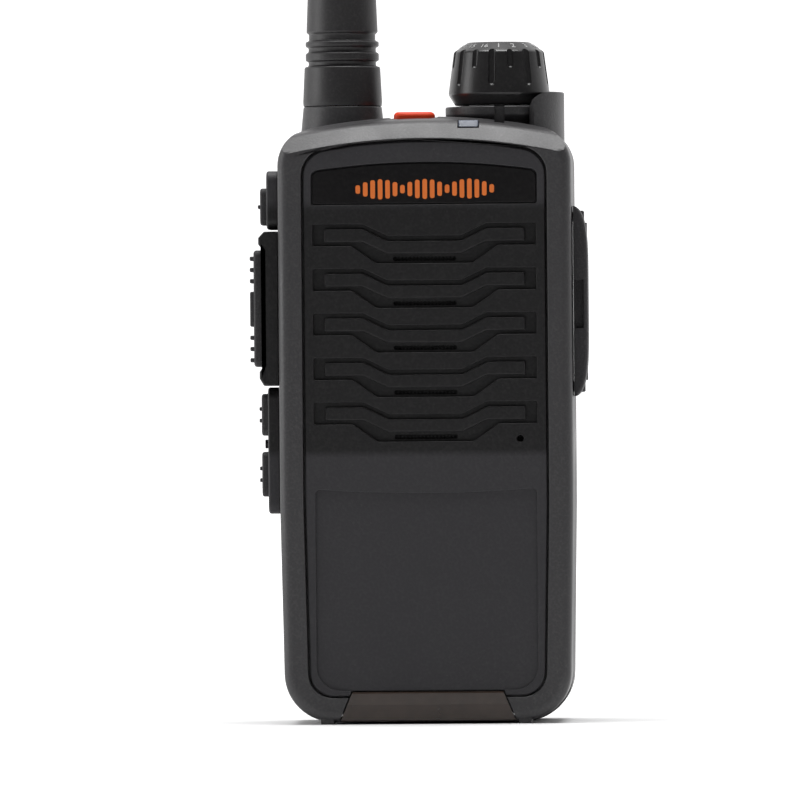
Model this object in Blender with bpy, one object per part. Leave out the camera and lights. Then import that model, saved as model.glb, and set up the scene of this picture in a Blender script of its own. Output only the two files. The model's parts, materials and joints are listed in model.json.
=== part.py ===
"""Hand-held two way radio, built as the pieces it comes apart into.

The radio stands on its base: +Z is up, the speaker faces -Y and the side keys
are at -X. The origin is the middle of the base. Lengths are in millimetres and
the meshes are scaled to metres when they are made.
"""
import math

import bmesh
import bpy
from mathutils import Matrix, Vector

MM = 0.001
GAP = 0.3                       # between pieces that rest on each other
ROUND_STEPS = 32                # sides of a large turned piece
SMALL_STEPS = 16                # sides of a screw, stem or pin
TINY = 0.0001                   # lengths below this are zero
SHARP_ANGLE = math.radians(35)

# Body envelope
BODY_WIDTH = 60.0
FOOT_TAPER = 0.8                # how much each side pulls in at the base
TAPER_TOP = 45.0
SHELL_FLOOR = 0.5               # the shell clears the table, on two nubs
TOP_MIDDLE = 124.3
TOP_SAG = 1.9                   # drop of the arched top at ARCH_HALF
ARCH_HALF = 22.0
LOWER_CORNER = 10.0
UPPER_CORNER = 8.0
FRONT = -18.0
BACK = 18.0
FRONT_ROUND = 2.2
BACK_ROUND = 3.0
WALL = 2.2
CAVITY_FRONT = -13.8
CEILING = 119.9                 # underside of the top wall
SPLIT = 0.0                     # back plane of the shell below the shelf
SHELF = (101.0, 103.0)

# Front panel and its details
APERTURE_INSET = 4.9
PANEL_INSET = 5.3
LEDGE_INSET = 6.9
LEDGE_FRONT = -15.3
PANEL_FRONT = -17.7
PANEL_BACK = LEDGE_FRONT - GAP
WINDOW_HALF = 23.1
WINDOW_LOW = 106.1
WINDOW_SIDE = 113.1
WINDOW_TOP = 114.8
WINDOW_DEPTH = 0.9
SLOT_COUNT = 5
SLOT_PITCH = 9.1
SLOT_TOP = 102.2
SLOT_HALF = 22.8
SLOT_DEPTH = 1.3
LOWER_RECESS_HALF = 22.6
LOWER_RECESS = (6.9, 48.1)
LOWER_RECESS_DEPTH = 0.5
MIC = (19.3, 58.15)

# Top of the radio
ANTENNA = (-17.4, 4.0)
KNOB = (14.9, 4.0)
COLLAR_TOP = 126.8
BROW = [(-19.0, -5.9), (-18.0, -4.6), (-14.8, -1.15), (-12.6, -0.65), (-8.6, -0.5), (-6.5, 0.4)]
BROW_REACH = 31.0               # half length of the brow, past both corners
PEDESTAL_RADIUS = 11.1
PEDESTAL_TOP = 126.4
GUARD_TOP = 129.3
KNOB_RADIUS = 10.44
KNOB_LOW = 126.7
KNOB_WIDE = 129.1
KNOB_RIM = 137.6
KNOB_TOP = 139.7
DETENTS = 16
LONG_FLUTE = (130.6, 0.85)      # lowest point, radius
SHORT_FLUTE = (134.2, 0.7)
ANTENNA_LOW = 127.1
ANTENNA_TIP = 222.0
TOP_BUTTON = (-2.3, -4.0)
LENS = (7.2, 11.0)

# Left side keys: centre height and half height
SIDE_Y = -7.5
SIDE_FACE = -BODY_WIDTH / 2 - GAP
PTT_Z = 85.15
PTT_HALF = 11.95
KEYS = {"side_key": (106.0, 3.8), "volume_up_key": (63.4, 4.3), "volume_down_key": (51.2, 4.6)}

# Right side
COVER = (66.7, 105.6)
COVER_HINGE = (31.75, -1.9)
JACKS = [(89.5, 1.75), (78.0, 1.25)]

# Base latch
LATCH_PIN = (-16.5, 2.0)
LATCH_TOP = 6.6
LATCH_HALF = 15.4
LATCH_LOW = 0.7
LATCH_SLOPE = 0.42              # how much each side spreads per millimetre down

# Battery
BATTERY_FRONT = 0.6
BATTERY_TOP = 100.4
BATTERY_WALL = 2.0
SCREW_PLACES = [(side * 23.2, height) for side in (-1, 1) for height in (14.0, 96.5)]
CLIP_SCREWS = [(-9.0, 82.0), (9.0, 82.0)]
CONTACT_X = (-7.0, 7.0)
CONTACT_Z = 90.0
CHARGE_X = (-7.0, 7.0)
CHARGE_Z = 14.0

PLASTIC = ("charcoal_plastic", (0.052, 0.050, 0.053), 0.55, 0.0)
DARK_PLASTIC = ("dark_plastic", (0.022, 0.021, 0.023), 0.5, 0.0)
GLOSS_BLACK = ("gloss_black", (0.01, 0.01, 0.011), 0.2, 0.0)
SMOKED = ("smoked_plastic", (0.06, 0.035, 0.025), 0.15, 0.0)
RUBBER = ("rubber", (0.018, 0.018, 0.019), 0.75, 0.0)
ORANGE = ("orange_plastic", (0.9, 0.12, 0.03), 0.4, 0.0)
LENS_GREY = ("lens_grey", (0.37, 0.42, 0.58), 0.25, 0.0)
STEEL = ("steel", (0.55, 0.55, 0.56), 0.3, 1.0)
BRASS = ("brass", (0.78, 0.58, 0.26), 0.3, 1.0)
ALLOY = ("alloy", (0.42, 0.43, 0.44), 0.45, 1.0)
BOARD = ("circuit_board", (0.02, 0.11, 0.05), 0.45, 0.0)
PAPER = ("cone_paper", (0.05, 0.05, 0.05), 0.9, 0.0)
FELT = ("felt", (0.01, 0.01, 0.01), 1.0, 0.0)
CELL = ("cell_wrap", (0.03, 0.14, 0.33), 0.4, 0.0)


# ---------------------------------------------------------------- collections
def clear_scene():
    for obj in list(bpy.data.objects):
        bpy.data.objects.remove(obj, do_unlink=True)


def collection(name):
    made = bpy.data.collections.new(name)
    bpy.context.scene.collection.children.link(made)
    return made


def material(finish):
    name, colour, roughness, metallic = finish
    made = bpy.data.materials.get(name)
    if made:
        return made
    made = bpy.data.materials.new(name)
    made.use_nodes = True
    shader = made.node_tree.nodes["Principled BSDF"]
    shader.inputs["Base Color"].default_value = (*colour, 1.0)
    shader.inputs["Roughness"].default_value = roughness
    shader.inputs["Metallic"].default_value = metallic
    return made


# ------------------------------------------------------------------- outlines
def rounded(corners, steps=6):
    """A closed outline; each corner is (u, v, radius)."""
    points = []
    for index, (u, v, radius) in enumerate(corners):
        here = Vector((u, v))
        if radius <= 0:
            points.append((u, v))
            continue
        before = Vector(corners[index - 1][:2]) - here
        after = Vector(corners[(index + 1) % len(corners)][:2]) - here
        half_angle = before.angle(after) / 2
        reach = radius / math.tan(half_angle)
        bisector = (before.normalized() + after.normalized()).normalized()
        centre = here + bisector * (radius / math.sin(half_angle))
        start = here + before.normalized() * reach - centre
        sweep = start.angle_signed(here + after.normalized() * reach - centre)
        for step in range(steps + 1):
            turn = Matrix.Rotation(-sweep * step / steps, 2)
            points.append(tuple(centre + turn @ start))
    return points


def box_outline(low_u, high_u, low_v, high_v, radius=0.0, steps=4):
    corners = [(low_u, low_v), (high_u, low_v), (high_u, high_v), (low_u, high_v)]
    return rounded([(u, v, radius) for u, v in corners], steps)


def arch_height(x, inset=0.0):
    return TOP_MIDDLE - inset - TOP_SAG * (x / ARCH_HALF) ** 2


def body_outline(inset=0.0, floor=SHELL_FLOOR, ceiling=None):
    """The radio's front outline, pulled in by inset, cut level at ceiling."""
    half = BODY_WIDTH / 2 - inset
    foot = half - FOOT_TAPER
    low = floor + inset
    right = [(foot, low, max(LOWER_CORNER - inset, 1.0)), (half, TAPER_TOP, 0.0)]
    if ceiling is not None:
        right.append((half, ceiling, 0.0))
        return rounded(right + [(-x, z, r) for x, z, r in reversed(right)])
    right.append((half, arch_height(half, inset), UPPER_CORNER - inset * 0.5))
    steps = 8
    reach = 20.0 - inset
    arch = [(reach * (1 - step / (steps / 2)), step) for step in range(steps + 1)]
    arch = [(x, arch_height(x, inset), 0.0) for x, step in arch]
    return rounded(right + arch + [(-x, z, r) for x, z, r in reversed(right)])


def cavity_outline():
    """The hollow behind the front wall, with a level ceiling."""
    half = BODY_WIDTH / 2 - WALL
    right = [(half - FOOT_TAPER, SHELL_FLOOR + WALL, LOWER_CORNER - WALL), (half, TAPER_TOP, 0.0),
             (half, CEILING, 6.5)]
    return rounded(right + [(-x, z, r) for x, z, r in reversed(right)])


def upper_cavity_outline():
    """The deeper hollow above the shelf, a little smaller all round."""
    half, top = BODY_WIDTH / 2 - WALL - 0.2, CEILING - 0.2
    right = [(half, SHELF[1], 0.0), (half, top, 6.5)]
    return rounded(right + [(-x, z, r) for x, z, r in reversed(right)])


def wave(half, outer, inner, end_top, mid_top, end_low, mid_low, spread=0.0):
    """A bar that dips in its middle; spread moves the lower bends outwards."""
    top = [(-half, end_top), (-outer, end_top), (-inner, mid_top),
           (inner, mid_top), (outer, end_top), (half, end_top)]
    low = [(half, end_low), (outer + spread, end_low), (inner + spread, mid_low),
           (-inner - spread, mid_low), (-outer - spread, end_low), (-half, end_low)]
    return top + low


def lifted(outline, height):
    return [(u, v + height) for u, v in outline]


# ------------------------------------------------------------- solid building
def spot(u, v, along, axis):
    return {"X": (along, u, v), "Y": (u, along, v), "Z": (u, v, along)}[axis]


def prism(outline, start, end, axis="Y"):
    """An outline pushed along an axis, from start to end."""
    bm = bmesh.new()
    face = bm.faces.new([bm.verts.new(spot(u, v, start, axis)) for u, v in outline])
    grown = bmesh.ops.extrude_face_region(bm, geom=[face])["geom"]
    moved = [item for item in grown if isinstance(item, bmesh.types.BMVert)]
    bmesh.ops.translate(bm, verts=moved, vec=spot(0, 0, end - start, axis))
    bmesh.ops.recalc_face_normals(bm, faces=bm.faces)
    return bm


def block(low, high):
    return prism([(low[0], low[2]), (high[0], low[2]), (high[0], high[2]), (low[0], high[2])],
                 low[1], high[1])


def soften(bm, chosen, width, segments=3):
    """Round the edges whose two ends pass the test."""
    edges = [e for e in bm.edges if all(chosen(v.co) for v in e.verts)]
    bmesh.ops.bevel(bm, geom=edges, offset=width, segments=segments, profile=0.5,
                    affect="EDGES", clamp_overlap=True)
    return bm


def turned(profile, centre=(0, 0, 0), axis="Z", steps=ROUND_STEPS):
    """A profile of (radius, height) spun round an axis through centre."""
    bm = bmesh.new()
    verts = [bm.verts.new((radius, 0, height)) for radius, height in profile]
    edges = [bm.edges.new(pair) for pair in zip(verts, verts[1:])]
    if profile[0][0] > 0 or profile[-1][0] > 0:
        edges.append(bm.edges.new((verts[-1], verts[0])))
    bmesh.ops.spin(bm, geom=verts + edges, cent=(0, 0, 0), axis=(0, 0, 1),
                   angle=2 * math.pi, steps=steps, use_merge=True)
    bmesh.ops.remove_doubles(bm, verts=bm.verts, dist=0.0001)
    loose = [v for v in bm.verts if not v.link_faces]
    bmesh.ops.delete(bm, geom=loose, context="VERTS")
    # A flat end is one face: spokes would run through the corners of a bore on the same axis.
    hubs = [v for v in bm.verts if v.co.xy.length < TINY
            and all(abs(e.other_vert(v).co.z - v.co.z) < TINY for e in v.link_edges)]
    bmesh.ops.dissolve_verts(bm, verts=hubs)
    tilt = {"X": Matrix.Rotation(math.pi / 2, 4, "Y"), "Y": Matrix.Rotation(-math.pi / 2, 4, "X"),
            "Z": Matrix.Identity(4)}[axis]
    bmesh.ops.transform(bm, matrix=Matrix.Translation(centre) @ tilt, verts=bm.verts)
    bmesh.ops.recalc_face_normals(bm, faces=bm.faces)
    return bm


def rod(radius, start, end, centre, axis="Z", steps=SMALL_STEPS):
    """A plain round rod; centre gives the other two coordinates."""
    middle = spot(*centre, 0, axis)
    return turned([(0, end), (radius, end), (radius, start), (0, start)], middle, axis, steps)


def ring(outer, inner, start, end, centre, axis="Z", steps=SMALL_STEPS):
    profile = [(outer, end), (outer, start), (inner, start), (inner, end)]
    return turned(profile, spot(*centre, 0, axis), axis, steps)


def merged(*pieces):
    """Several separate closed shapes in one mesh, to cut with."""
    bm = bmesh.new()
    for piece in pieces:
        holder = bpy.data.meshes.new("holder")
        piece.to_mesh(holder)
        piece.free()
        bm.from_mesh(holder)
        bpy.data.meshes.remove(holder)
    return bm


def to_object(name, bm, group, origin=(0, 0, 0)):
    bmesh.ops.translate(bm, verts=bm.verts, vec=-Vector(origin))
    bmesh.ops.scale(bm, vec=(MM, MM, MM), verts=bm.verts)
    mesh = bpy.data.meshes.new(name)
    bm.to_mesh(mesh)
    bm.free()
    obj = bpy.data.objects.new(name, mesh)
    obj.location = Vector(origin) * MM
    group.objects.link(obj)
    return obj


def part(name, bm, finish, origin=(0, 0, 0)):
    obj = to_object(name, bm, bpy.data.collections["two_way_radio"], origin)
    obj.data.shade_smooth()
    obj.data.set_sharp_from_angle(angle=SHARP_ANGLE)
    obj.data.materials.append(material(finish))
    return obj


def shape(obj, bm, operation="DIFFERENCE"):
    """Cut obj with a shape, or join the shape to it."""
    count = sum(1 for m in obj.modifiers if m.type == "BOOLEAN")
    name = f"{obj.name}_{'cut' if operation == 'DIFFERENCE' else 'add'}_{count}"
    tool = to_object(name, bm, bpy.data.collections["cutters"])
    tool.hide_render = True
    tool.display_type = "WIRE"
    modifier = obj.modifiers.new(name, "BOOLEAN")
    modifier.operation = operation
    modifier.object = tool
    return obj


def cut(obj, bm):
    return shape(obj, bm)


def add(obj, bm):
    return shape(obj, bm, "UNION")


# ---------------------------------------------------------------------- shell
def guard_wall():
    """The curved fence that keeps the channel knob from being knocked."""
    inner, outer, reach, steps = PEDESTAL_RADIUS + 0.4, PEDESTAL_RADIUS + 2.3, math.radians(56), 14
    angles = [reach * (2 * step / steps - 1) for step in range(steps + 1)]
    arc = [(outer, a) for a in angles] + [(inner, a) for a in reversed(angles)]
    outline = [(KNOB[0] + r * math.cos(a), KNOB[1] + r * math.sin(a)) for r, a in arc]
    return prism(outline, 113.0, GUARD_TOP, "Z")


def guard_slope():
    """Everything above the guard's falling front and back edges."""
    crest, fall, drop, steps = 26.2, 4.8, 3.6, 8
    turn = [math.pi / 2 * step / steps for step in range(steps + 1)]
    curve = [(crest - fall * math.sin(a), GUARD_TOP - drop * (1 - math.cos(a))) for a in turn]
    low = GUARD_TOP - drop
    return prism(curve + [(15.0, low), (15.0, GUARD_TOP + 2), (crest, GUARD_TOP + 2)], -15, 20)


def latch_half(height):
    """Half the latch's width at a height: it widens towards the base."""
    return LATCH_HALF + LATCH_SLOPE * (LATCH_TOP - height)


def latch_notch():
    top, low = LATCH_TOP + GAP, -0.5
    wide, narrow = latch_half(low) + GAP, latch_half(top) + GAP
    return [(narrow, top), (-narrow, top), (-wide, low), (wide, low)]


def brow_cutter(steps=14):
    """What the sloping brow above the front panel takes off the arched top edge."""
    section = [(y, drop) for y, drop in BROW] + [(BROW[-1][0], 3.0), (BROW[0][0], 3.0)]
    bm = bmesh.new()
    rows = []
    for step in range(steps + 1):
        x = BROW_REACH * (2 * step / steps - 1)
        rows.append([bm.verts.new((x, y, arch_height(x) + drop)) for y, drop in section])
    for row, following in zip(rows, rows[1:]):
        for index in range(len(section)):
            after = (index + 1) % len(section)
            bm.faces.new((row[index], row[after], following[after], following[index]))
    bm.faces.new(rows[0])
    bm.faces.new(rows[-1])
    bmesh.ops.recalc_face_normals(bm, faces=bm.faces)
    return bm


def front_housing():
    bm = prism(body_outline(), FRONT, BACK)
    soften(bm, lambda co: abs(co.y - FRONT) < 0.01, FRONT_ROUND)
    soften(bm, lambda co: abs(co.y - BACK) < 0.01, BACK_ROUND)
    shell = part("front_housing", bm, PLASTIC)
    cut(shell, brow_cutter())
    collar = [(0, COLLAR_TOP), (7.9, COLLAR_TOP), (8.1, COLLAR_TOP - 0.3), (8.6, 121.4), (8.6, 116),
              (0, 116)]
    add(shell, turned(collar, (*ANTENNA, 0)))
    pedestal = [(0, PEDESTAL_TOP), (PEDESTAL_RADIUS - 0.3, PEDESTAL_TOP),
                (PEDESTAL_RADIUS, PEDESTAL_TOP - 0.3), (PEDESTAL_RADIUS, 124.5), (9.8, 123.3), (9.8, 118),
                (0, 118)]
    add(shell, turned(pedestal, (*KNOB, 0)))
    guard = part("guard_blank", guard_wall(), PLASTIC)
    cut(guard, guard_slope())
    add(shell, evaluated(guard))
    for side in (-1, 1):
        foot_x = 20.2 * side - 0.4
        add(shell, block((foot_x - 1.3, -17.2, 0), (foot_x + 1.3, -9.2, 2)))
    cut(shell, block((-40, SPLIT, -5), (40, 30, SHELF[0])))
    cut(shell, prism(cavity_outline(), CAVITY_FRONT, SPLIT + 0.5))
    cut(shell, prism(upper_cavity_outline(), SPLIT - 1, BACK - WALL))
    add(shell, block((-28.5, -2.4, SHELF[0]), (28.5, 1.0, SHELF[1])))
    for x, z in SCREW_PLACES:
        add(shell, rod(3.4, CAVITY_FRONT - 1, -2.7, (x, z), "Y"))
    cut(shell, prism(body_outline(APERTURE_INSET), FRONT - 2, LEDGE_FRONT))
    cut(shell, prism(body_outline(LEDGE_INSET), LEDGE_FRONT - 0.5, CAVITY_FRONT + 0.1))
    cut(shell, merged(*[rod(1.5, -12.0, 0.0, place, "Y") for place in SCREW_PLACES]))
    cut(shell, prism(latch_notch(), FRONT - 2, -14.7))
    cut(shell, rod(0.58, -19.4, 19.4, LATCH_PIN, "X"))
    cut_top(shell)
    cut_sides(shell)
    return shell


def evaluated(obj):
    """The object's finished mesh in millimetres; the object is then removed."""
    graph = bpy.context.evaluated_depsgraph_get()
    bm = bmesh.new()
    mesh = bpy.data.meshes.new_from_object(obj.evaluated_get(graph))
    bm.from_mesh(mesh)
    bpy.data.meshes.remove(mesh)
    for modifier in obj.modifiers:
        bpy.data.objects.remove(modifier.object, do_unlink=True)
    bpy.data.objects.remove(obj, do_unlink=True)
    bmesh.ops.scale(bm, vec=(1 / MM, 1 / MM, 1 / MM), verts=bm.verts)
    return bm


def cut_top(shell):
    cut(shell, rod(4.75, 115, 130, KNOB))
    bore = [(0, 130), (7.3, 130), (7.3, 125.7), (4.9, 125.7), (4.9, 115), (0, 115)]
    cut(shell, turned(bore, (*ANTENNA, 0), steps=36))
    cut(shell, block((14.2, -9, 122.8), (16.3, -5.9, 128)))
    x, y = TOP_BUTTON
    cut(shell, prism(box_outline(x - 5.5, x + 5.5, y - 4.6, y + 4.6, 2.2), 123.2, 130, "Z"))
    cut(shell, prism(box_outline(x - 4.5, x + 4.5, y - 3.2, y + 3.2, 1.8), 118, 130, "Z"))
    slot = [(-20, 121.65), (-14.3, 121.65), (-14.3, 118.5), (-12.3, 118.5), (-12.3, 126), (-20, 126)]
    cut(shell, prism(slot, LENS[0] - GAP, LENS[1] + GAP, "X"))


def cut_sides(shell):
    stems = [rod(1.7, -33, -26, (SIDE_Y, PTT_Z), "X")]
    stems += [rod(1.3, -33, -26, (SIDE_Y, height), "X") for height, half in KEYS.values()]
    cut(shell, merged(*stems))
    cut(shell, merged(*[rod(2.9, 26, 33, (SIDE_Y, height), "X") for height, bore in JACKS]))
    hinge_x, hinge_y = COVER_HINGE
    for low, high in ((COVER[0] + 1.0, COVER[0] + 3.0), (COVER[1] - 3.0, COVER[1] - 1.0)):
        lug = box_outline(29.0, hinge_x + 0.6, hinge_y - 1.1, hinge_y + 1.1)
        add(shell, prism(lug, low, high, "Z"))
    cut(shell, rod(0.58, COVER[0] + 0.5, COVER[1] - 0.5, COVER_HINGE))


# ----------------------------------------------------------------- front face
def window_outline(inset=0.0, steps=10):
    half, low = WINDOW_HALF - inset, WINDOW_LOW + inset
    arch = [half * (1 - 2 * step / steps) for step in range(steps + 1)]
    rise = WINDOW_TOP - WINDOW_SIDE
    top = [(x, WINDOW_SIDE - inset + rise * (1 - (x / half) ** 2), 0.0) for x in arch]
    top[0] = (top[0][0], top[0][1], 1.4)
    top[-1] = (top[-1][0], top[-1][1], 1.4)
    return rounded([(half, low, 0.6)] + top + [(-half, low, 0.6)], 3)


def lower_recess_outline(steps=8):
    half, (low, high) = LOWER_RECESS_HALF, LOWER_RECESS
    sag = 0.9
    spread = [half * (1 - 2 * step / steps) for step in range(steps + 1)]
    top = [(x, high - sag * (1 - (x / half) ** 2), 0.0) for x in spread]
    top[0] = (top[0][0], top[0][1], 1.2)
    top[-1] = (top[-1][0], top[-1][1], 1.2)
    return rounded([(half, low, 5.0)] + top + [(-half, low, 5.0)], 5)


def slot_outline():
    return wave(SLOT_HALF, 12.6, 7.5, 0.0, -2.45, -4.5, -8.1, spread=2.3)


def bar_outline():
    return wave(20.5, 12.6, 7.5, -1.0, -3.5, -3.7, -6.1)


def front_panel():
    bm = prism(body_outline(PANEL_INSET), PANEL_FRONT, PANEL_BACK)
    soften(bm, lambda co: abs(co.y - PANEL_FRONT) < 0.01, 0.35, 2)
    panel = part("front_panel", bm, DARK_PLASTIC)
    floor = PANEL_FRONT + SLOT_DEPTH
    for index in range(SLOT_COUNT):
        height = SLOT_TOP - SLOT_PITCH * index
        cut(panel, prism(lifted(slot_outline(), height), PANEL_FRONT - 1, floor))
        sound_gap = box_outline(-6.5, 6.5, height - 7.6, height - 6.7, 0.4, 3)
        cut(panel, prism(sound_gap, floor - 0.5, PANEL_BACK + 1))
        add(panel, prism(lifted(bar_outline(), height), PANEL_FRONT + 0.15, floor + 0.2))
    cut(panel, prism(window_outline(), PANEL_FRONT - 1, PANEL_FRONT + WINDOW_DEPTH))
    cut(panel, prism(lower_recess_outline(), PANEL_FRONT - 1, PANEL_FRONT + LOWER_RECESS_DEPTH))
    cut(panel, rod(0.7, PANEL_FRONT - 1, PANEL_BACK + 1, MIC, "Y"))
    cut(panel, prism(latch_notch(), FRONT - 2, -14.7))
    plate = prism(window_outline(0.25), PANEL_FRONT + 0.15, PANEL_FRONT + WINDOW_DEPTH - 0.2)
    part("name_plate", plate, GLOSS_BLACK)


# -------------------------------------------------------------- inner pieces
def speaker():
    centre = (0.0, 0.0, 80.0)
    cloth = prism(box_outline(-16.5, 16.5, 57.2, 104.5, 1.5), -15.3, -15.0)
    part("speaker_cloth", cloth, FELT)
    basket = [(18, -14.6), (18, -12.4), (9.6, -10.3), (6.0, -10.3), (6.0, -11.0), (9.4, -11.1),
              (17.0, -13.2), (17.0, -14.6)]
    part("speaker_basket", turned(basket, centre, "Y"), STEEL)
    cone = [(0, -12.9), (4.5, -12.5), (16.6, -14.4), (16.6, -14.0), (4.5, -12.1), (0, -12.5)]
    part("speaker_cone", turned(cone, centre, "Y"), PAPER)
    magnet = turned([(0, -6.7), (8.6, -6.7), (9.0, -7.1), (9.0, -10.0), (0, -10.0)], centre, "Y")
    part("speaker_magnet", magnet, STEEL)


def boards():
    part("main_board", prism(box_outline(-19.4, 19.4, 8, 98, 1.0), -6.4, -5.2), BOARD)
    shield = soften(block((-16, -4.9, 22), (16, -2.7, 62)), lambda co: co.y > -3, 0.4, 2)
    part("shield_can", shield, ALLOY)
    part("microphone", rod(2.0, -15.2, -13.0, MIC, "Y"), ALLOY)
    part("side_board", prism(box_outline(-12, -3, 46, 90, 0.8), -23.9, -23.1, "X"), BOARD)
    part("top_board", block((-8, -12.5, 114.2), (12, -1.9, 115.2)), BOARD)
    part("status_light", block((8.2, -13.4, 115.5), (10.0, -12.6, 116.5)), LENS_GREY)
    x, y = TOP_BUTTON
    part("top_button_switch", block((x - 2, y - 2, 115.5), (x + 2, y + 2, 117.6)), ALLOY)
    lens = [(-15.4, 121.95), (-14.35, 123.15), (-12.6, 123.15), (-12.6, 117), (-13.4, 117),
            (-13.4, 121.95)]
    part("light_pipe", prism(lens, *LENS, "X"), LENS_GREY)


def chassis():
    bm = prism(body_outline(WALL + 0.9, ceiling=SHELF[0] - GAP), -2.4, SPLIT)
    frame = part("chassis", bm, ALLOY)
    cut(frame, merged(*[rod(1.55, -4, 1, place, "Y") for place in SCREW_PLACES]))
    cut(frame, merged(*[rod(3.0, -1.5, 1, place, "Y") for place in SCREW_PLACES]))
    cut(frame, block((-12.3, -4, CONTACT_Z - 3.3), (12.3, 1, CONTACT_Z + 3.3)))
    seal = prism(body_outline(WALL + 0.2, ceiling=SHELF[0] - 0.1), -1.8, -0.8)
    ring_seal = part("chassis_seal", seal, RUBBER)
    cut(ring_seal, prism(body_outline(WALL + 0.7, ceiling=SHELF[0] - 0.25), -2.5, 0))
    part("contact_block", block((-12, -4.6, CONTACT_Z - 3), (12, -0.4, CONTACT_Z + 3)), DARK_PLASTIC)
    holder = bpy.data.objects["contact_block"]
    cut(holder, merged(*[rod(1.3, -3.5, 1, (x, CONTACT_Z), "Y") for x in CONTACT_X]))
    for number, x in enumerate(CONTACT_X, 1):
        pin = [(0, 0.4), (0.5, 0.3), (0.9, -0.2), (0.9, -3.2), (0, -3.2)]
        part(f"contact_pin_{number}", turned(pin, (x, 0, CONTACT_Z), "Y", SMALL_STEPS), BRASS)
    for number, (x, z) in enumerate(SCREW_PLACES, 1):
        fastener = screw((x, 0, z), head=2.6, top=-0.3, under=-1.2, shank=1.2, tip=-9.0)
        part(f"chassis_screw_{number}", fastener, STEEL)


def screw(centre, head, top, under, shank, tip):
    """A pan-head screw along Y with a hexagon socket."""
    profile = [(0, top - 0.6), (0.8, top - 0.6), (0.8, top), (head - 0.3, top), (head, top - 0.3),
               (head, under), (shank, under), (shank, tip + 0.5), (shank - 0.5, tip), (0, tip)]
    return turned(profile, centre, "Y", SMALL_STEPS)


# ----------------------------------------------------------------- side keys
def side_frames():
    """Fixed surrounds of the keys, glued to the left wall."""
    front, back = SIDE_Y - 6.2, SIDE_Y + 6.2
    upper = prism(box_outline(SIDE_Y - 5.4, SIDE_Y + 5.4, 101.3, 113.3, 2.2), -32.5, SIDE_FACE, "X")
    upper = part("upper_key_frame", soften(upper, lambda co: co.x < -32.4, 0.5, 2), DARK_PLASTIC)
    lower = prism(box_outline(SIDE_Y - 5.4, SIDE_Y + 5.4, 43.1, 69.0, 2.2), -32.5, SIDE_FACE, "X")
    lower = part("lower_key_frame", soften(lower, lambda co: co.x < -32.4, 0.5, 2), DARK_PLASTIC)
    add(lower, rod(0.9, -33.3, -32.2, (SIDE_Y, 57.4), "X"))
    outline = [(SIDE_FACE, 69.3), (-33.2, 69.3), (-34.1, 70.8), (-34.1, 72.2), (-33.2, 73.4),
               (-33.2, 97.0), (-34.2, 98.3), (-34.2, 99.6), (-33.0, 100.9), (SIDE_FACE, 100.9)]
    ptt = part("ptt_frame", prism(outline, front, back), DARK_PLASTIC)
    opening = box_outline(SIDE_Y - 4.6, SIDE_Y + 4.6, PTT_Z - PTT_HALF - GAP, PTT_Z + PTT_HALF + GAP, 1.6)
    cut(ptt, prism(opening, -36, -31.0, "X"))
    cut(ptt, rod(1.7, -32, -29, (SIDE_Y, PTT_Z), "X"))
    for name, (height, half) in KEYS.items():
        frame = upper if name == "side_key" else lower
        opening = box_outline(SIDE_Y - 3.5, SIDE_Y + 3.5, height - half - GAP, height + half + GAP, 1.6)
        cut(frame, prism(opening, -36, -30.9, "X"))
        cut(frame, rod(1.3, -32, -29, (SIDE_Y, height), "X"))


def ptt_button():
    face, back = -35.3, -32.4
    outline = box_outline(SIDE_Y - 4.3, SIDE_Y + 4.3, PTT_Z - PTT_HALF, PTT_Z + PTT_HALF, 1.4)
    bm = soften(prism(outline, face, back, "X"), lambda co: co.x < face + 0.01, 0.6, 2)
    button = part("ptt_button", bm, RUBBER, (face, SIDE_Y, PTT_Z))
    ribs = [(height, 0.45) for height in (95.4, 93.1, 90.8, 79.2, 76.9, 74.6)] + [(PTT_Z - 0.1, 3.6)]
    for height, half in ribs:
        rib = box_outline(SIDE_Y - 3.4, SIDE_Y + 3.4, height - half, height + half, 0.4, 3)
        add(button, soften(prism(rib, -36.1, face + 0.4, "X"), lambda co: co.x < -36.09, 0.25, 2))
    add(button, rod(1.3, back - 0.5, -27.0, (SIDE_Y, PTT_Z), "X"))
    part("ptt_switch", block((-25.5, SIDE_Y - 2.2, PTT_Z - 2.2), (-24.2, SIDE_Y + 2.2, PTT_Z + 2.2)), ALLOY)


def side_keys():
    face, back = -33.9, -31.9
    for name, (height, half) in KEYS.items():
        outline = box_outline(SIDE_Y - 3.2, SIDE_Y + 3.2, height - half, height + half, 1.3)
        bm = soften(prism(outline, face, back, "X"), lambda co: co.x < face + 0.01, 0.5, 2)
        key = part(name, bm, RUBBER, (face, SIDE_Y, height))
        nubs = (0.0,) if name == "side_key" else (-1.2, 1.2)
        for nub in nubs:
            ridge = box_outline(SIDE_Y - 2.0, SIDE_Y + 2.0, height + nub - 0.4, height + nub + 0.4, 0.3, 3)
            add(key, prism(ridge, face - 0.5, face + 0.4, "X"))
        add(key, rod(1.0, back - 0.4, -26.6, (SIDE_Y, height), "X"))
        body = block((-25.5, SIDE_Y - 1.8, height - 1.8), (-24.2, SIDE_Y + 1.8, height + 1.8))
        switch = part(f"{name}_switch", body, ALLOY)
        if name == "side_key":
            add(switch, prism(box_outline(-11, -4, 101.6, 110.4, 0.8), -24.4, -23.4, "X"))


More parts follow.
